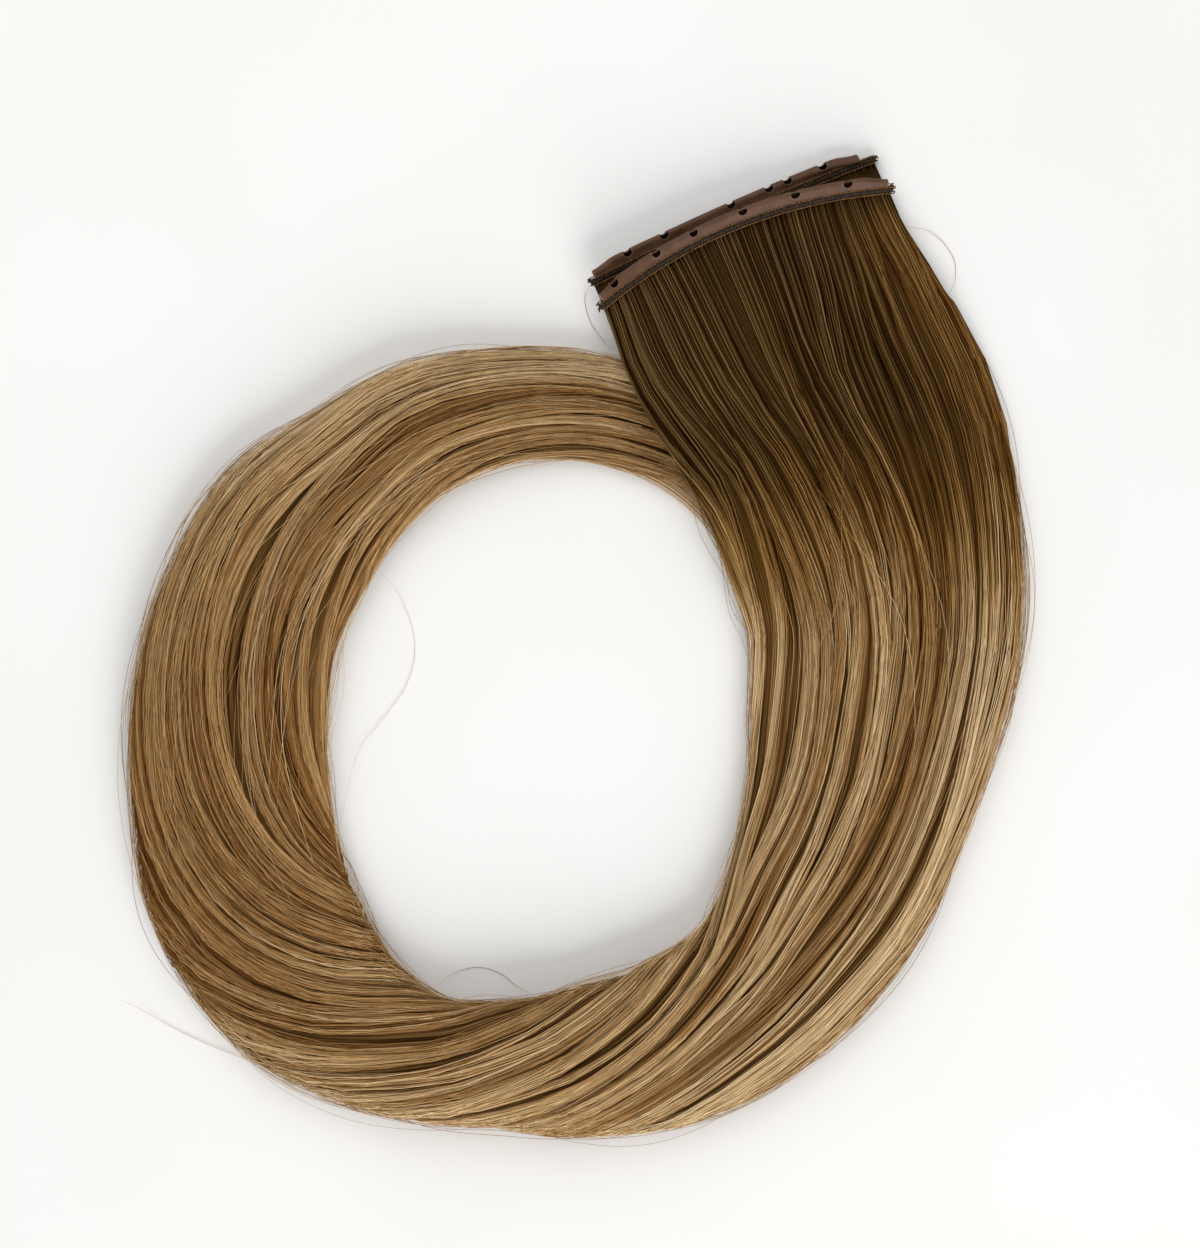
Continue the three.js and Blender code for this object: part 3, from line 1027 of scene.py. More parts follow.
    def _tails(self, rng: np.random.Generator) -> Piece:
        """Leave short blunt thread ends at both ends of the row."""
        way = np.linspace(0, 1, self.tail_points)
        half = self.layout.track_length / 2 - self.zigzag_margin
        upward, outward = self.tail_bends
        paths = []
        for side in (-1, 1):
            for _ in range(self.tails):
                along = side * (half + rng.uniform(*self.tail_lengths) * way)
                height = rng.uniform(*self.tail_heights) + rng.normal(0, upward) * way**2
                out = rng.uniform(-self.tail_out, self.tail_out) + rng.normal(0, outward) * way**2
                paths.append(np.stack([along, height, out], axis=-1))
        paths = np.array(paths)
        taper = 1 - self.tail_taper * way**3
        radii = self.tail_radius * taper * rng.uniform(*self.tail_radii, (len(paths), 1))
        return self._lay(paths, radii, self.tail_sides, "tails")


# The hair


@dataclass(frozen=True)
class CoilSection:
    """The bundle's section at many places at once: its middle, its two axes and its two sizes."""

    middle: Array
    outward: Array
    upward: Array
    width: Array
    thick: Array


@dataclass
class CoilPath:
    """The coiled bundle, sampled finely along its length and round its section.

    flattened is how far the table cuts into the bundle's underside, power that of the section's
    rounded outline, and deepest the share of the thickness below which nothing is laid.
    """

    stations: Sequence[Sequence[float]]
    flattened: float = 0.6
    power: float = 2.5
    deepest: float = 0.44
    samples: int = 2001
    aspect_range: Span = (0.03, 0.7)
    aspect_samples: int = 48
    turn_samples: int = 241
    angle_samples: int = 1441

    def __post_init__(self) -> None:
        """Sample the bundle along its length."""
        share = np.linspace(0, 1, self.samples)
        table = curve_through(np.array(self.stations, dtype=float), share)
        x, y, self.width, self.thick, lift, bank, self.twist = table.T
        flow = unit(np.stack([np.gradient(x), np.gradient(y)], axis=-1))
        level = np.stack([-flow[:, 1], flow[:, 0], np.zeros_like(x)], axis=-1)
        sine, cosine = np.sin(np.radians(bank))[:, None], np.cos(np.radians(bank))[:, None]
        self.outward = level * cosine - UP * sine
        self.upward = UP * cosine + level * sine
        height = lift - self.flattened + self.thick / 2 + self.width / 2 * sine[:, 0]
        self.middle = np.stack([x, y, height], axis=-1)
        self.path = np.concatenate([[0.0], np.cumsum(np.hypot(np.diff(x), np.diff(y)))])
        self.rounding = 2 / self.power
        self._measure_outlines()

    def _measure_outlines(self) -> None:
        """Find the angle at each share of the way round the outline, for flat and for round sections."""
        self.aspects = np.linspace(*self.aspect_range, self.aspect_samples)
        shares = np.linspace(0, 1, self.turn_samples)
        angles = np.linspace(0, 2 * math.pi, self.angle_samples)
        across = signed_power(np.cos(angles), self.rounding)
        rise = signed_power(np.sin(angles), self.rounding)
        rows, rounds = [], []
        for aspect in self.aspects:
            steps = np.hypot(np.diff(across), aspect * np.diff(rise))
            way = np.concatenate([[0.0], np.cumsum(steps)])
            rows.append(np.interp(shares, way / way[-1], angles))
            rounds.append(way[-1])
        self.angles = np.array(rows)
        self.rounds = np.array(rounds)

    def twist_at(self, path: Array) -> Array:
        """The degrees by which the locks have turned at distances along the path."""
        return np.interp(path, self.path, self.twist)

    def at(self, path: Array) -> CoilSection:
        """Read the bundle's section.

        Args:
            path: Distances along the middle line from the rows, in any shape.

        Returns:
            The section at each of them.
        """
        vectors = []
        for samples in (self.middle, self.outward, self.upward):
            columns = [np.interp(path, self.path, column) for column in samples.T]
            vectors.append(np.stack(columns, axis=-1))
        sizes = [np.interp(path, self.path, samples) for samples in (self.width, self.thick)]
        return CoilSection(*vectors, *sizes)

    def round_length(self, section: CoilSection) -> Array:
        """The length of the way round the section's outline."""
        return np.interp(section.thick / section.width, self.aspects, self.rounds) * section.width / 2

    def point(self, section: CoilSection, turn: Array, depth: Array) -> Array:
        """Find points of the bundle.

        Args:
            section: The section at each point.
            turn: The share of the way round the outline from the outer side, over the top.
            depth: How far inside the outline.

        Returns:
            The points in millimetres.
        """
        aspect = np.interp(section.thick / section.width, self.aspects, np.arange(len(self.aspects)))
        low = np.clip(aspect.astype(int), 0, len(self.aspects) - 2)
        place = (turn % 1.0) * (self.turn_samples - 1)
        left = np.clip(place.astype(int), 0, self.turn_samples - 2)
        up, over = aspect - low, place - left
        lower = self.angles[low, left] * (1 - over) + self.angles[low, left + 1] * over
        upper = self.angles[low + 1, left] * (1 - over) + self.angles[low + 1, left + 1] * over
        angle = lower * (1 - up) + upper * up
        depth = np.minimum(depth, self.deepest * section.thick)
        across = (section.width / 2 - depth) * signed_power(np.cos(angle), self.rounding)
        rise = (section.thick / 2 - depth) * signed_power(np.sin(angle), self.rounding)
        return section.middle + section.outward * across[..., None] + section.upward * rise[..., None]


class Wander:
    """Smooth random wander along the hair, different for each lock, wisp or strand."""

    WAVES = 3

    def __init__(self, rng: np.random.Generator, count: int, shortest: float, longest: float) -> None:
        """Draw the waves of a number of wanders, between a shortest and a longest one."""
        self.lengths = rng.uniform(shortest, longest, (count, self.WAVES))
        self.phases = rng.uniform(0, 2 * math.pi, (count, self.WAVES))

    def read(self, which: Array, path: Array) -> Array:
        """Read the wanders.

        Args:
            which: The number of the wander for each row.
            path: Distances along the hair, a row for each.

        Returns:
            Values that are mostly between -1 and 1.
        """
        total = np.zeros_like(path)
        for wave in range(self.WAVES):
            length, phase = self.lengths[which, wave, None], self.phases[which, wave, None]
            total += np.sin(2 * math.pi * path / length + phase)
        return total / 2


@dataclass(frozen=True)
class Change:
    """An amount that comes along one stretch of the hair and, where it has a fall, goes again."""

    amount: float
    rise: Span
    fall: Span | None = None

    def read(self, path: Array) -> Array:
        """How much there is of it at distances along the hair."""
        risen = smoothstep(path, *self.rise)
        if self.fall is not None:
            risen = risen - smoothstep(path, *self.fall)
        return self.amount * risen


class Edge(Enum):
    """The bundle's two edges, by the cosine of the way round it that faces them."""

    OUTER = 1
    INNER = -1

    def near(self, turn: Array, power: int) -> Array:
        """How near shares of the way round are to this edge, from 0 to 1, more sharply by a power."""
        return np.maximum(self.value * np.cos(2 * math.pi * turn), 0) ** power


@dataclass(frozen=True)
class ToneChance:
    """How tones are drawn: their middle, what neighbours differ by, and the draws that are shared.

    drawn holds how far the draws spread for a lock, for a wisp and for a strand.
    """

    middle: float
    unlike: float
    drawn: tuple[float, float, float]


@dataclass
class StrandPlan:
    """What is set for each strand: its place in the bundle, its rings and its looks.

    start is a strand's share of the way round the bundle at the rows: the front row from its right end
    to its left end, and then the back row from its left end to its right end. covered says how far it
    lies below others, and path holds the distances along the coil of its rings.
    """

    start: Array
    lock: Array
    in_lock: Array
    wisp: Array
    in_wisp: Array
    covered: Array | None = None
    stray: Array | None = None
    swing: Array | None = None
    path: Array | None = None
    root_tone: Array | None = None
    tone: Array | None = None
    light_from: Array | None = None
    light_over: Array | None = None

    def near_row_end(self) -> Array:
        """How near strands are to an end of their row, from 0 in its middle to 1 at both ends."""
        return np.cos(2 * math.pi * self.start) ** 4


@dataclass
class Locks:
    """The bundle's locks and their wisps, and how each of them wanders along the coil."""

    rng: np.random.Generator
    count: int = 30
    wisps_each: int = 7
    widths: Span = (0.3, 2.0)

    def __post_init__(self) -> None:
        """Draw the locks' widths, and the ways in which they and their wisps wander."""
        rng = self.rng
        widths = rng.uniform(*self.widths, self.count)
        edges = np.concatenate([[0.0], np.cumsum(widths)]) / widths.sum()
        self.edges = edges
        self.middle = (edges[:-1] + edges[1:]) / 2
        self.half = np.diff(edges) / 2
        self.wisps = self.count * self.wisps_each
        self.side = Wander(rng, self.count, shortest=130, longest=300)
        self.gather = Wander(rng, self.count, shortest=140, longest=300)
        self.depth = Wander(rng, self.count, shortest=120, longest=280)
        self.wisp_side = Wander(rng, self.wisps, shortest=120, longest=260)
        self.wisp_gather = Wander(rng, self.wisps, shortest=100, longest=260)
        self.wisp_depth = Wander(rng, self.wisps, shortest=90, longest=220)
        self.wisp_tone = Wander(rng, self.wisps, shortest=150, longest=420)

    def place(self, start: Array, spill: float) -> StrandPlan:
        """Find the lock and the wisp of each strand.

        Args:
            start: Each strand's share of the way round the bundle at the rows.
            spill: How far strands stray into a wisp next to their own.

        Returns:
            The strands' plan, with nothing else set.
        """
        lock = np.clip(np.searchsorted(self.edges, start, side="right") - 1, 0, self.count - 1)
        in_lock = (start - self.middle[lock]) / self.half[lock]
        share = (in_lock + 1) / 2 * self.wisps_each
        spilled = (share + spill * self.rng.normal(0, 1, len(start))).astype(int)
        part = np.clip(spilled, 0, self.wisps_each - 1)
        return StrandPlan(start, lock, in_lock, lock * self.wisps_each + part, 2 * (share - part) - 1)

    def drawn(self, plan: StrandPlan, spreads: tuple[float, float, float]) -> Array:
        """Draw values that are partly shared by the strands of a lock and of a wisp.

        Args:
            plan: The strands.
            spreads: How far the draws for a lock, for a wisp and for a strand spread.

        Returns:
            A value for each strand.
        """
        of_lock, of_wisp, of_strand = spreads
        shared = of_lock * self.rng.normal(0, 1, self.count)[plan.lock]
        shared = shared + of_wisp * self.rng.normal(0, 1, self.wisps)[plan.wisp]
        return shared + of_strand * self.rng.normal(0, 1, len(plan.start))


@dataclass
class HairTones:
    """How light each strand is along its length, and where it turns from its root's colour.

    light_drawn holds how far draws for locks, wisps and strands spread. Bands hold a size, a pitch and
    a shift. The root's edge tones give a tone for the outer and for the inner edge. These edge tones, the
    edge changes and the golden glow on the outer edge are painted light, laid by place round the bundle.
    """

    locks: Locks
    root: ToneChance = ToneChance(0.41, 0.45, (0.01, 0.01, 0.06))
    length: ToneChance = ToneChance(0.52, 0.22, (0.09, 0.07, 0.14))
    levels: int = 3
    group: int = 2
    cover_shadow: float = 0.26
    gap_shadow: float = 0.24
    gap_power: int = 8
    shadow_lift: float = 0.14
    bands: tuple[tuple[float, float, float], ...] = ((0.07, 31, 0.7), (0.05, 73, 2.1))
    light_from: float = 47.0
    outer_delay: float = 10.0
    light_drawn: tuple[float, float, float] = (3, 4, 10)
    light_over: Span = (55, 85)
    # Painted light: a golden glow on the outer edge near the rows, by place round the bundle.
    painted_edge_glow: Change = Change(0.36, (0, 14))
    edge_glow_power: int = 6
    wander: float = 0.12
    calmed: Change = Change(0.32, (180, 290))
    # A little lighter over the bottom; darker over the left band as painted shade for its slope.
    changes: tuple[Change, ...] = (
        Change(0.05, (190, 240), (325, 355)), Change(-0.12, (340, 370), (420, 490)),
    )
    # Painted light: the outer and the inner edge lightened by place along stretches of the coil.
    outer_painted_light: tuple[Change, ...] = (Change(0.17, (70, 120), (345, 390)), Change(0.44, (440, 510)))
    inner_painted_light: tuple[Change, ...] = (Change(0.12, (90, 130), (180, 240)),)
    edge_power: int = 3
    # Painted light: the root lighter at the outer and the inner edge, against their shade.
    root_edge_painted_light: Span = (0.04, 0.12)

    def draw(self, plan: StrandPlan) -> None:
        """Draw the strands' tones, and where they turn light."""
        gaps = np.abs(plan.in_lock) ** self.gap_power
        shadow = self.cover_shadow * plan.covered + self.gap_shadow * gaps - self.shadow_lift
        bands = sum(size * np.sin(pitch * plan.start + shift) for size, pitch, shift in self.bands)
        late = self.outer_delay * np.cos(math.pi * plan.start) ** 2
        unlike = self._unlike(plan.covered)
        root, length, drawn = self.root, self.length, self.locks.drawn
        plan.root_tone = root.middle - shadow + root.unlike * unlike + drawn(plan, root.drawn)
        plan.tone = length.middle - shadow + bands + length.unlike * unlike + drawn(plan, length.drawn)
        plan.light_from = self.light_from + late + drawn(plan, self.light_drawn)
        plan.light_over = self.locks.rng.uniform(*self.light_over, len(plan.start))

    def _unlike(self, covered: Array) -> Array:
        """Spread values from -1 to 1, so that pairs of strands side by side at one depth are unlike.

        Args:
            covered: How far each strand lies below others, from 0 to 1, in the order of the strands.

        Returns:
            A value for each strand.
        """
        depth = (covered * self.levels).astype(int)
        place = np.zeros(len(covered))
        for level in range(self.levels):
            place[depth == level] = np.arange(np.sum(depth == level)) // self.group
        return 2 * (place * GOLDEN_SHARE % 1) - 1

    def lightened(self, plan: StrandPlan, turn: Array) -> Array:
        """How far hair has turned from its root's colour to its length's, soonest at the outer edge, in
        painted light.
        """
        light = smoothstep((plan.path - plan.light_from[:, None]) / plan.light_over[:, None], 0, 1)
        return np.maximum(light, Edge.OUTER.near(turn, self.edge_glow_power) * self.painted_edge_glow.read(plan.path))

    def read(self, plan: StrandPlan, turn: Array, lightened: Array) -> Array:
        """Find each strand's tone along its length.

        Args:
            plan: The strands.
            turn: Each ring's share of the way round the bundle.
            lightened: How far each ring has turned to the length's colour.

        Returns:
            A tone for each ring, from dark to light.
        """
        path = plan.path
        outer, inner = Edge.OUTER.near(turn, self.edge_power), Edge.INNER.near(turn, self.edge_power)
        wander = self.wander * self.locks.wisp_tone.read(plan.wisp, path)
        length = 0.5 + (1 - self.calmed.read(path)) * (plan.tone[:, None] - 0.5 + wander)
        # Lighter over the bottom, and darker over the left band as painted shade.
        length = length + sum(change.read(path) for change in self.changes)
        # The edges are lightened by place round the bundle: painted light.
        length = length + outer * sum(change.read(path) for change in self.outer_painted_light)
        length = length + inner * sum(change.read(path) for change in self.inner_painted_light)
        # The root is lightened at both edges: painted light.
        outer_root, inner_root = self.root_edge_painted_light
        root = plan.root_tone[:, None] + inner_root * inner + outer_root * outer
        return root * (1 - lightened) + length * lightened


@dataclass
class RowRoots:
    """How strands leave the two rows, straight and in small tufts, before they join the coil."""

    coil: CoilPath
    rows: tuple[RowLayout, RowLayout]
    thickness: float = 1.7
    margin: float = 0.6
    reach: float = 0.46
    sunk: float = 0.1
    tuft: float = 1.15
    gather: float = 0.8
    left_pull: float = 1.3
    right_pull: float = 0.9
    onward_sample: int = 40
    joined_after: float = 46.0
    sooner_at_ends: float = 22.0
    raised: Change = Change(1.0, (0, 22))

    def lead(self, plan: StrandPlan, points: Array) -> Array:
        """Lead the first stretch of each strand from its row.

        Args:
            plan: The strands.
            points: Their points in the coil, in millimetres.

        Returns:
            The changed points.
        """
        path = plan.path
        roots, away = np.empty((len(path), 3)), np.empty((len(path), 3))
        for number, layout in enumerate(self.rows):
            chosen = (plan.start >= number / 2) & (plan.start < (number + 1) / 2)
            side, half = 1 - 2 * number, layout.track_length / 2 - self.margin
            along = side * (1 - 4 * (plan.start[chosen] - number / 2)) * half
            middle = (np.round(along / self.tuft - 0.5) + 0.5) * self.tuft
            along = middle + (along - middle) * self.gather
            covered = plan.covered[chosen]
            out = side * self.thickness * np.where(covered > 1, 0.0, self.reach * (1 - 2 * covered))
            foot = np.stack([along, np.full_like(along, -self.sunk), out], axis=-1)
            roots[chosen] = layout.place_points(foot) / MM
            away[chosen] = layout.place_directions(foot, np.array([0.0, -1.0, 0.0]))
        away = self._fan(plan, unit(away * LEVEL))
        led = roots[:, None] + away[:, None] * path[..., None]
        join_over = self.joined_after - self.sooner_at_ends * plan.near_row_end()
        level = smoothstep(path / join_over[:, None], 0, 1)[..., None]
        rise = self.raised.read(path)[..., None]
        joined = np.concatenate([np.repeat(level, 2, axis=-1), rise], axis=-1)
        return led * (1 - joined) + points * joined

    def _fan(self, plan: StrandPlan, away: Array) -> Array:
        """Turn the strands at both ends of the rows so that they leave along the coil's edges.

        Args:
            plan: The strands.
            away: The level direction straight away from the row for each strand.

        Returns:
            The turned directions.
        """
        onward = unit((self.coil.middle[self.onward_sample] - self.coil.middle[0]) * LEVEL)
        at_left = np.cos(2 * math.pi * plan.start) < 0
        pull = plan.near_row_end() * np.where(at_left, self.left_pull, self.right_pull)
        return unit(away + pull[:, None] * (onward - away))


@dataclass
class HairBundle:
    """How the hair of both rows runs: in locks and wisps, which twist together along the coil.

    A pull holds what is the same for all strands and what wanders. side_strays holds how far locks,
    wisps and strands wander sideways.
    """

    coil: CoilPath
    roots: RowRoots
    locks: Locks
    layer_depth: float = 1.2
    lowest: float = 0.11
    loosened: Change = Change(1.0, (6, 70))
    wisp_pull: Span = (0.12, 0.2)
    lock_pull: Span = (0.1, 0.1)
    side_strays: tuple[float, float, float] = (1.7, 0.6, 0.3)
    lock_stray: float = 0.45
    strand_stray: float = 0.12
    raised: float = 0.3
    lock_relief: float = 0.85
    relief_power: int = 8
    relief_loss: Change = Change(0.4, (180, 300))
    wisp_relief: float = 0.16
    outer_lag: float = 25.0
    squeeze: Change = Change(0.066, (4, 56))
    first_swing: Change = Change(0.03, (4, 46), (46, 95))
    second_swing: Change = Change(0.115, (130, 262), (275, 440))
    outer_flare: Change = Change(1.4, (6, 34), (44, 100))
    inner_flare: Change = Change(1.6, (2, 22), (22, 74))
    flare_power: int = 4

    def follow(self, plan: StrandPlan) -> tuple[Array, Array]:
        """Lay strands along the coil.

        Args:
            plan: The strands.

        Returns:
            The points of each strand in millimetres, and their shares of the way round the bundle.
        """
        locks, path, every = self.locks, plan.path, np.arange(len(plan.start))
        section = self.coil.at(path)
        loose = self.loosened.read(path)
        pulled = self.wisp_pull[0] + self.wisp_pull[1] * locks.wisp_gather.read(plan.wisp, path)
        gathered = self.lock_pull[0] + self.lock_pull[1] * locks.gather.read(plan.lock, path)
        beside = plan.in_lock[:, None] - loose * pulled / locks.wisps_each * plan.in_wisp[:, None]
        beside = beside * (1 - loose * gathered)
        turn = locks.middle[plan.lock][:, None] + locks.half[plan.lock][:, None] * beside
        of_lock, of_wisp, of_strand = self.side_strays
        strand_side = Wander(locks.rng, len(every), shortest=110, longest=300).read(every, path)
        sideways = of_lock * locks.side.read(plan.lock, path)
        sideways = sideways + of_wisp * locks.wisp_side.read(plan.wisp, path)
        sideways = loose * (sideways + of_strand * strand_side * plan.stray[:, None])
        lag = self.outer_lag * np.cos(math.pi * plan.start[:, None]) ** 2
        turn = turn + sideways / self.coil.round_length(section) + self.coil.twist_at(path - lag) / 360
        turn = turn + self._swing(plan)
        depth = self.layer_depth * plan.covered[:, None] + loose * self._hollows(plan)
        depth = np.maximum(depth, -self.raised) - self._flare(turn, path)
        points = self.roots.lead(plan, self.coil.point(section, turn, depth))
        points[..., 2] = np.maximum(points[..., 2], self.lowest)
        return points, turn

    def _hollows(self, plan: StrandPlan) -> Array:
        """Find how far strands sink or rise with their locks and wisps, as an addition to their depth."""
        locks, path, every = self.locks, plan.path, np.arange(len(plan.start))
        strand_depth = Wander(locks.rng, len(every), shortest=90, longest=240).read(every, path)
        relief = self.lock_relief * (1 - self.relief_loss.read(path))
        hollow = self.lock_stray * (1 + locks.depth.read(plan.lock, path))
        hollow = hollow + relief * plan.in_lock[:, None] ** self.relief_power
        wisp_hollow = plan.in_wisp[:, None] ** 2 + locks.wisp_depth.read(plan.wisp, path)
        hollow = hollow + self.wisp_relief * wisp_hollow
        return hollow + self.strand_stray * strand_depth * (plan.stray[:, None] > 0) - self.raised

    def _flare(self, turn: Array, path: Array) -> Array:
        """How far hair stands out beyond the bundle's two edges soon after the rows."""
        outer = Edge.OUTER.near(turn, self.flare_power) * self.outer_flare.read(path)
        return outer + Edge.INNER.near(turn, self.flare_power) * self.inner_flare.read(path)

    def _swing(self, plan: StrandPlan) -> Array:
        """Move the front row's hair to the middle of the top, and let all hair swing in and out."""
        together = self.squeeze.read(plan.path) * np.cos(2 * math.pi * plan.start)[:, None]
        first = plan.swing[:, None] * (together + self.first_swing.read(plan.path))
        return first + self.second_swing.read(plan.path)


@dataclass
class LowerHair:
    """The hair below the top strands, as one closed skin, so that gaps between locks look into hair,
    darkened as painted shade.
    """

    bundle: HairBundle
    tones: HairTones
    finish: HairFinish
    rings: int = 180
    sides: int = 114
    covered: float = 1.125
    stiff_ends: float = 0.65
    first_rings: Span = (-0.5, 6.0)
    even_from: float = 12.0
    length: float = 0.97
    light: float = 0.6
    light_from: float = 45.0
    light_over: float = 70.0

    def build(self) -> None:
        """Make the skin."""
        plan = self._plan()
        points, turn = self.bundle.follow(plan)
        points = points.transpose(1, 0, 2) * MM
        rings, sides = self.rings, self.sides
        ring, side = np.meshgrid(np.arange(rings - 1), np.arange(sides), indexing="ij")
        over = (side + 1) % sides
        here, beyond = ring * sides, (ring + 1) * sides
        walls = np.stack([here + side, here + over, beyond + over, beyond + side], axis=-1)
        ends = [tuple(range(sides - 1, -1, -1)), tuple(range((rings - 1) * sides, rings * sides))]
        mesh = bpy.data.meshes.new("lower_layer")
        mesh.from_pydata(points.reshape(-1, 3).tolist(), [], walls.reshape(-1, 4).tolist() + ends)
        mesh.polygons.foreach_set("use_smooth", np.ones(len(mesh.polygons), dtype=bool))
        across = np.stack([side, side + 1, side + 1, side], axis=-1) / sides
        lengthwise = np.stack([ring, ring, ring + 1, ring + 1], axis=-1) / (rings - 1)
        places = np.stack([across, lengthwise], axis=-1).reshape(-1, 2)
        places = np.vstack([places, np.full((2 * sides, 2), 0.5)])
        layer = mesh.uv_layers.new(name=BAKE_MAP)
        layer.uv.foreach_set("vector", places.astype(np.float32).ravel())
        # Scaled down by light, so the skin keeps more of the dark root colour: painted shade.
        lightened = self.light * self.tones.lightened(plan, turn).T
        attribute = mesh.attributes.new(LIGHTENED, "FLOAT", "POINT")
        attribute.data.foreach_set("value", lightened.ravel().astype(np.float32))
        mesh.update()
        piece = bpy.data.objects.new("lower_layer", mesh)
        bpy.context.scene.collection.objects.link(piece)
        finish_piece(piece, "lower_hair", (self.finish.lower_material(),))

    def _plan(self) -> StrandPlan:
        """Set out one line of points along the coil for each side of the skin."""
        sides, coil = self.sides, self.bundle.coil
        plan = self.bundle.locks.place((np.arange(sides) + 0.5) / sides, 0.0)
        plan.covered = np.full(sides, self.covered)
        plan.stray = np.zeros(sides)
        plan.light_from = np.full(sides, self.light_from)
        plan.light_over = np.full(sides, self.light_over)
        plan.swing = 1 - self.stiff_ends * plan.near_row_end()
        last, count = coil.path[-1] * self.length, self.rings - len(self.first_rings)
        even = np.linspace(self.even_from, last, count)
        plan.path = np.tile(np.concatenate([self.first_rings, even]), (sides, 1))
        return plan


@dataclass
class TopHair:
    """The single strands of both rows, in three groups for each row."""

    bundle: HairBundle
    tones: HairTones
    finish: HairFinish
    strands: int = 2500
    rings: int = 53
    first_rings: tuple[float, ...] = (-0.5, 4.0, 10.0, 16.0, 22.5)
    even_from: float = 30.0
    shortest: float = 0.94
    radius: float = 0.11
    radii: Span = (0.75, 1.3)
    taper: Change = Change(0.55, (0.85, 1))
    cover_power: float = 1.2
    wisp_spill: float = 0.3
    stray_share: float = 0.08
    stray_reach: float = 3.4
    stiff_ends: Span = (0.4, 0.9)
    thirds: tuple[str, str, str] = ("right", "middle", "left")

    def build(self) -> None:
        """Make the strands of each row."""
        self.rng = self.bundle.locks.rng
        plan = self._plan()
        points, turn = self.bundle.follow(plan)
        lightened = self.tones.lightened(plan, turn)
        tone = np.clip(self.tones.read(plan, turn, lightened), 0, 1)
        material = self.finish.material()
        for number, row in enumerate(Row):
            for third, name in enumerate(self.thirds):
                low = number / 2 + third / 6
                chosen = (plan.start >= low) & (plan.start < low + 1 / 6)
                marks = {TONE: tone[chosen], LIGHTENED: lightened[chosen]}
                piece = self._strands(points[chosen], marks)
                nodes = [row.node("hair")]
                finish_piece(piece, row.node(f"{name}_hair"), (material,), nodes)

    def _plan(self) -> StrandPlan:
        """Draw every strand's place and looks by chance."""
        rng, count, locks = self.rng, self.strands, self.bundle.locks
        plan = locks.place((np.arange(count) + rng.uniform(0, 1, count)) / count, self.wisp_spill)
        plan.covered = rng.uniform(0, 1, count) ** self.cover_power
        plan.stray = np.where(rng.uniform(0, 1, count) < self.stray_share, self.stray_reach, 1.0)
        stiff = rng.uniform(*self.stiff_ends, locks.wisps)[plan.wisp]
        plan.swing = 1 - plan.near_row_end() * stiff
        self.tones.draw(plan)
        plan.path = self._distances()
        return plan

    def _distances(self) -> Array:
        """Choose the distances along the coil at which each strand has its rings."""
        rng, shape = self.rng, (self.strands, 1)
        even = np.linspace(0, 1, self.rings - len(self.first_rings))
        shift = rng.uniform(-0.5, 0.5, shape) / (len(even) - 1)
        even = even + shift * np.sin(math.pi * even)
        length = self.bundle.coil.path[-1] * rng.uniform(self.shortest, 1.0, shape)
        first = np.tile(self.first_rings, shape)
        return np.hstack([first, self.even_from + (length - self.even_from) * even])

    def _strands(self, points: Array, marks: dict[str, Array]) -> Piece:
        """Make strands as thin tapered tubes, each turned by chance.

        Args:
            points: Their points in millimetres.
            marks: Their tone at each point, and how far they have lightened there.

        Returns:
            The joined strands.
        """
        count, rings = points.shape[:2]
        along = unit(np.gradient(points, axis=1))
        side = unit(np.cross(along, UP))
        roll = self.rng.uniform(0, 2 * math.pi, (count, 1, 1))
        normals = side * np.cos(roll) + np.cross(along, side) * np.sin(roll)
        taper = 1 - self.taper.read(np.linspace(0, 1, rings))
        radii = self.radius * self.rng.uniform(*self.radii, (count, 1)) * taper
        return Tubes(points * MM, radii * MM, normals).build("strands", marks)


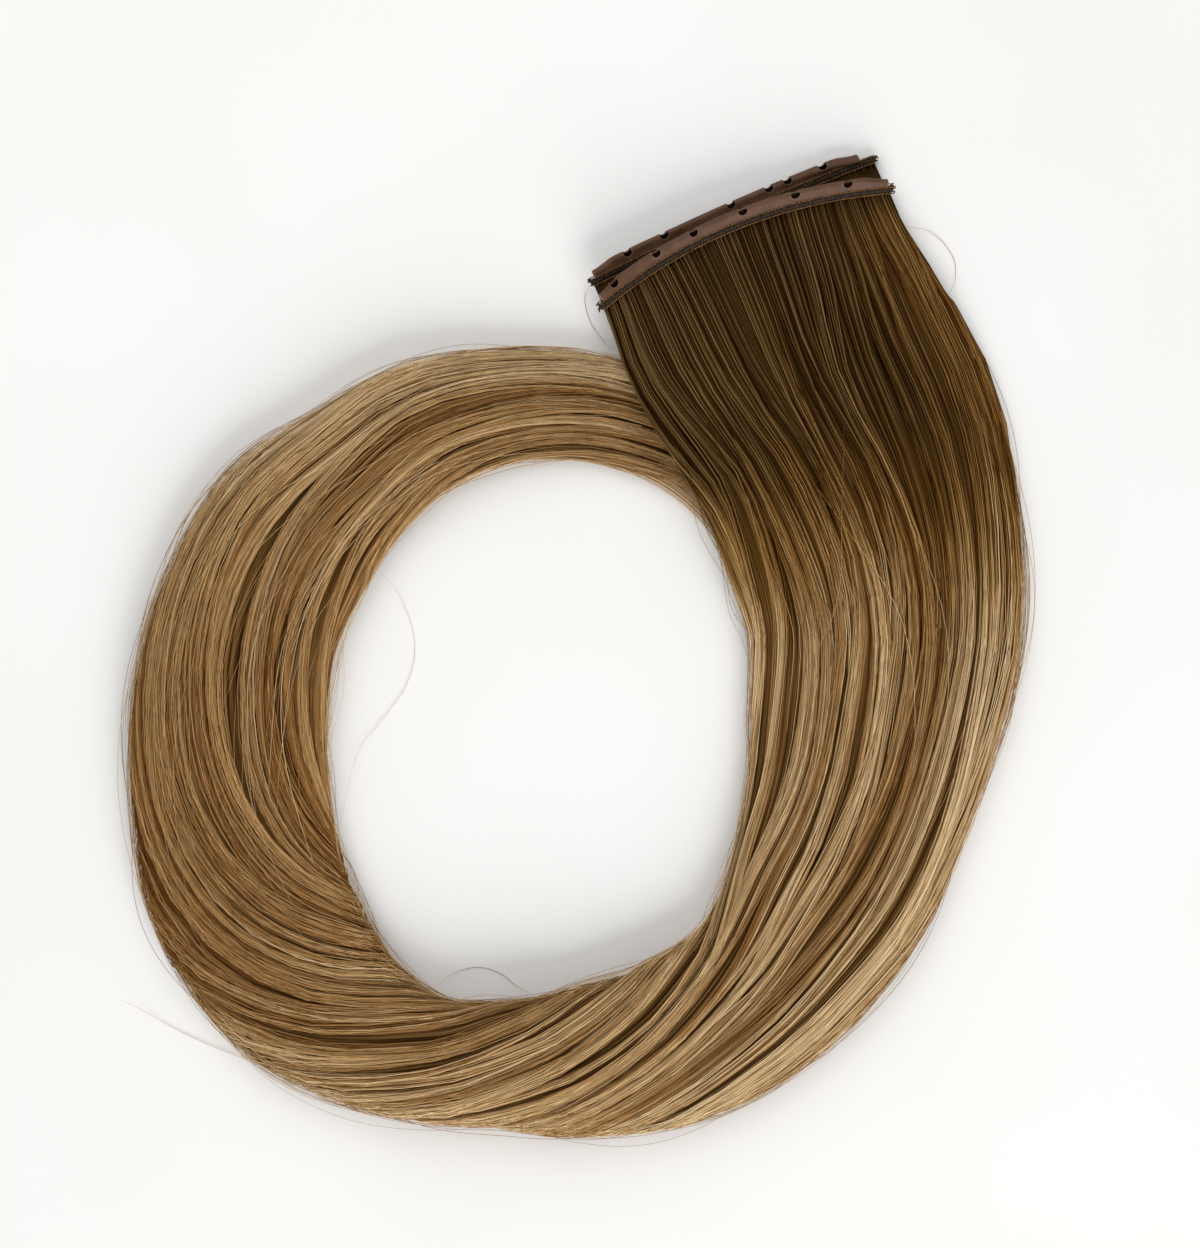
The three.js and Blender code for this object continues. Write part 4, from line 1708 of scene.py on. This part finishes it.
@dataclass
class LooseHairs:
    """Single hairs that have come away: loops beside the coil, fuzz along its edges, hairs across its top.

    Chances are pairs of the least and the most that is drawn.
    """

    coil: CoilPath
    finish: HairFinish
    loops: tuple[tuple[tuple[float, float], ...], ...]
    tucked: tuple[tuple[float, float], ...]
    rings: int = 18
    radius: float = 0.075
    radii: Span = (0.7, 1.2)
    taper: float = 0.6
    tone: Span = (0.68, 0.2)
    darkest: float = 0.1
    lightened: Change = Change(1.0, (50, 115))
    loop_low: float = 0.3
    loop_rise: float = 4.5
    tuck_count: int = 110
    tuck_width: float = 8.0
    tuck_narrow: float = 0.4
    tuck_heights: Span = (1.2, 5.5)
    tuck_drop: float = 0.5
    fuzz: int = 300
    fuzz_from: Span = (30, 540)
    fuzz_lengths: Span = (25, 80)
    fuzz_outer_share: float = 0.6
    fuzz_reach: float = 0.7
    fuzz_reaches: Span = (0.15, 3.2)
    fuzz_sunk: float = 1.0
    fuzz_power: float = 1.3
    fuzz_heights: Span = (-3, 2.5)
    fuzz_lowest: float = 0.2
    crossings: int = 80
    root_crossings: float = 0.3
    root_crossings_from: Span = (35, 90)
    tip_crossings_from: Span = (345, 465)
    crossing_lengths: Span = (60, 115)
    crossing_turns: Span = (0.06, 0.44)
    crossing_slant: float = 0.07
    crossing_wave: float = 0.006
    crossing_waves: float = 7.0
    crossing_sunk: float = 1.2
    crossing_rise: float = 1.7
    crossing_power: float = 0.6
    seed: int = 23

    def build(self) -> None:
        """Make all loose hairs as one piece."""
        self.rng = np.random.default_rng(self.seed)
        self.way = np.linspace(0, 1, self.rings)
        loops = self._loops()
        fuzz, fuzz_path = self._fuzz()
        crossings, crossing_path = self._crossings()
        tucked = self._tucked()
        points = np.concatenate([loops, tucked, fuzz, crossings])
        lengths = np.full((len(loops) + len(tucked), self.rings), self.coil.path[-1])
        path = np.concatenate([lengths, fuzz_path, crossing_path])
        tone = np.clip(self.rng.normal(*self.tone, (len(points), 1)), self.darkest, 1)
        marks = {TONE: tone * np.ones(self.rings), LIGHTENED: self.lightened.read(path)}
        along = unit(np.gradient(points, axis=1))
        nearly_up = np.array([0.1, 0.2, 1.0])
        normals = unit(np.cross(along, nearly_up))
        taper = 1 - self.taper * np.abs(2 * self.way - 1) ** 3
        radii = self.radius * self.rng.uniform(*self.radii, (len(points), 1)) * taper
        piece = Tubes(points * MM, radii * MM, normals).build("loose", marks)
        finish_piece(piece, "loose_hairs", (self.finish.material(),))

    def _loops(self) -> Array:
        """Lay the loops on the table, with their ends raised into the coil."""
        height = self.loop_low + self.loop_rise * np.abs(2 * self.way - 1) ** 4
        flat = [curve_through(np.array(loop), self.way) for loop in self.loops]
        return np.array([np.column_stack([points, height]) for points in flat])

    def _tucked(self) -> Array:
        """Let the lowest tips bend down and in under the hair that leaves the rows."""
        rng, shape = self.rng, (self.tuck_count, 1)
        middle = curve_through(np.array(self.tucked), self.way)
        flow = unit(np.gradient(middle, axis=0))
        beside = np.stack([-flow[:, 1], flow[:, 0]], axis=-1)
        swell = self.tuck_narrow + (1 - self.tuck_narrow) * np.sin(math.pi * self.way)
        aside = rng.uniform(0, self.tuck_width, shape) * swell
        height = rng.uniform(*self.tuck_heights, shape) * (1 - self.tuck_drop * self.way)
        flat = middle + beside * aside[..., None]
        return np.concatenate([flat, height[..., None]], axis=-1)

    def _fuzz(self) -> tuple[Array, Array]:
        """Let hairs bow out a little from the coil's two edges.

        Returns:
            The hairs' points, and their distances along the coil.
        """
        rng, shape = self.rng, (self.fuzz, 1)
        path = rng.uniform(*self.fuzz_from, shape) + rng.uniform(*self.fuzz_lengths, shape) * self.way
        section = self.coil.at(path)
        side = np.where(rng.uniform(0, 1, shape) < self.fuzz_outer_share, 1.0, -1.0)
        reach = np.clip(rng.exponential(self.fuzz_reach, shape), *self.fuzz_reaches)
        bowed = np.sin(math.pi * self.way) ** self.fuzz_power
        bow = (reach + self.fuzz_sunk) * bowed - self.fuzz_sunk
        points = section.middle + section.outward * (side * (section.width / 2 + bow))[..., None]
        height = points[..., 2] + rng.uniform(*self.fuzz_heights, shape)
        points[..., 2] = np.maximum(height, self.fuzz_lowest)
        return points, path

    def _crossings(self) -> tuple[Array, Array]:
        """Let hairs cross the coil's top at a slant, with both ends tucked in.

        Returns:
            The hairs' points, and their distances along the coil.
        """
        rng, way, shape = self.rng, self.way, (self.crossings, 1)
        near_roots = rng.uniform(0, 1, shape) < self.root_crossings
        from_roots = rng.uniform(*self.root_crossings_from, shape)
        begin = np.where(near_roots, from_roots, rng.uniform(*self.tip_crossings_from, shape))
        path = begin + rng.uniform(*self.crossing_lengths, shape) * way
        section = self.coil.at(path)
        slant = rng.normal(0, self.crossing_slant, shape) * (way - 0.5)
        wave = self.crossing_wave * np.sin(self.crossing_waves * way)
        turn = rng.uniform(*self.crossing_turns, shape) + slant + wave
        rise = self.crossing_rise * np.sin(math.pi * way) ** self.crossing_power
        depth = self.crossing_sunk - rise * np.ones(shape)
        return self.coil.point(section, turn, depth), path


# The scene


@dataclass(frozen=True)
class SoftLight:
    """A square soft light that faces the middle of the table, in metres and watts."""

    name: str
    place: tuple[float, float, float]
    side: float
    power: float

    def build(self) -> None:
        """Hang the light."""
        lamp = bpy.data.lights.new(self.name, "AREA")
        lamp.shape = "SQUARE"
        lamp.size = self.side
        lamp.energy = self.power
        light = bpy.data.objects.new(self.name, lamp)
        bpy.context.scene.collection.objects.link(light)
        light.location = self.place
        light.rotation_euler = light.location.to_track_quat("Z", "Y").to_euler()


@dataclass
class Studio:
    """The white table, the soft light from the lower right and above, and the camera straight above."""

    table_finish: TableFinish
    lights: tuple[SoftLight, ...] = (
        SoftLight("key", (0.5, -1.45, 0.85), 1.2, 29.0),
        SoftLight("overhead", (-0.2, 0.65, 0.8), 1.2, 6.9),
    )
    room_colour: tuple[float, float, float] = (0.98, 0.985, 1.0)
    room_strength: float = 0.36
    centre: Span = (5.97, 5.37)
    camera_height: float = 700.0
    view_height: float = 336.96
    sensor: float = 36.0
    table_side: float = 6.0
    table_cuts: int = 3

    def build(self) -> None:
        """Make the table, the lights, the surroundings and the camera."""
        self._table()
        for light in self.lights:
            light.build()
        self._surroundings()
        self._camera()

    def _table(self) -> None:
        """Lay the table top at height 0."""
        deselect_all()
        bpy.ops.mesh.primitive_plane_add(size=self.table_side)
        table = bpy.context.object
        bpy.ops.object.mode_set(mode="EDIT")
        bpy.ops.mesh.select_all(action="SELECT")
        bpy.ops.mesh.subdivide(number_cuts=self.table_cuts)
        bpy.ops.object.mode_set(mode="OBJECT")
        table.name = "table"
        table.data.materials.append(self.table_finish.material())

    def _surroundings(self) -> None:
        """Light the scene evenly from all round."""
        world = bpy.data.worlds.new("soft_room")
        world.use_nodes = True
        background = next(node for node in world.node_tree.nodes if node.type == "BACKGROUND")
        background.inputs["Color"].default_value = (*self.room_colour, 1.0)
        background.inputs["Strength"].default_value = self.room_strength
        bpy.context.scene.world = world
        bpy.context.scene.view_settings.view_transform = "Standard"

    def _camera(self) -> None:
        """Hang the camera straight above the table."""
        lens = bpy.data.cameras.new("camera")
        lens.sensor_width = self.sensor
        lens.lens = self.sensor * self.camera_height / self.view_height
        camera = bpy.data.objects.new("camera", lens)
        bpy.context.scene.collection.objects.link(camera)
        x, y = self.centre
        camera.location = (x * MM, y * MM, self.camera_height * MM)
        bpy.context.scene.camera = camera


ROOT_TONES = ((0.0, (17, 2, 0)), (0.35, (50, 26, 4)), (0.7, (90, 64, 28)), (1.0, (134, 106, 66)))
GOLDEN_TONES = ((0.0, (52, 25, 3)), (0.35, (97, 60, 18)), (0.7, (142, 100, 46)), (1.0, (188, 150, 90)))
LENGTH_TONES = (
    (0.0, (75, 36, 6)), (0.25, (125, 80, 37)), (0.5, (165, 124, 75)),
    (0.75, (198, 162, 112)), (1.0, (232, 206, 162)),
)

# Loose hairs beside the coil, as points of x and y.
LOOPS = (
    ((-53.4, 19.9), (-48, 12.9), (-44, 1), (-45.9, -10.3), (-53.4, -21.1), (-59.4, -29.2), (-64.2, -50.2)),
    ((-38, -91.6), (-33.2, -88.6), (-27, -87.2), (-21, -88.8), (-16.7, -92.1), (-12.9, -93.5)),
    ((87, 112.3), (95.1, 111.2), (101, 105), (101.8, 98.3), (99.1, 92.9)),
    ((-122.3, -95.6), (-102.1, -107), (-66.9, -120.5)),
    ((3.3, 96.9), (1.9, 92.8), (3.8, 86.1), (9.2, 78.8)),
    ((9.2, 103.1), (16.8, 107.4), (22.2, 109)),
)

# The lower edge of the tips that bend in under the first stretch, as points of x and y.
TUCKED = ((-16, 49.6), (-3, 49.8), (11, 47), (23.5, 41), (33, 33), (41, 22), (49, 9))


def main() -> None:
    """Build the rows, the hair and the studio in order."""
    logging.basicConfig(level=logging.INFO, format="%(message)s")
    tape = TapeFinish("satin_tape", ((0.3, (78, 51, 34)), (0.7, (100, 70, 50))))
    # The lining is painted dark brown: painted shade inside the fold and its holes.
    shaded_lining = TapeFinish("tape_lining_painted_shade", ((0.3, (22, 11, 6)), (0.7, (34, 19, 11))), gloss=0.05)
    # Lighter than the tape: a painted highlight along the rims of the holes and the cut ends.
    highlighted_rim = TapeFinish("tape_rim_painted_highlight", ((0.3, (112, 84, 70)), (0.7, (146, 116, 100))))
    band = ThreadFinish("track_band", ((0.35, (31, 22, 14)), (0.65, (48, 37, 26))))
    zigzag = ThreadFinish("dark_thread", ((0.35, (44, 33, 23)), (0.65, (84, 68, 51))))
    seam = ThreadFinish("seam_thread", ((0.35, (88, 60, 36)), (0.65, (138, 100, 62))))
    hair = HairFinish("ombre_hair", ROOT_TONES, GOLDEN_TONES, LENGTH_TONES)
    for layout in (FRONT, BACK):
        FoldedTape(layout, tape, shaded_lining, highlighted_rim).build()
        StitchedTrack(layout, band, zigzag, seam).build()
    coil = CoilPath(STATIONS)
    locks = Locks(np.random.default_rng(HAIR_SEED))
    bundle = HairBundle(coil, RowRoots(coil, (FRONT, BACK)), locks)
    tones = HairTones(locks)
    LowerHair(bundle, tones, hair).build()
    TopHair(bundle, tones, hair).build()
    LooseHairs(coil, hair, LOOPS, TUCKED).build()
    Studio(TableFinish()).build()


if __name__ == "__main__":
    main()
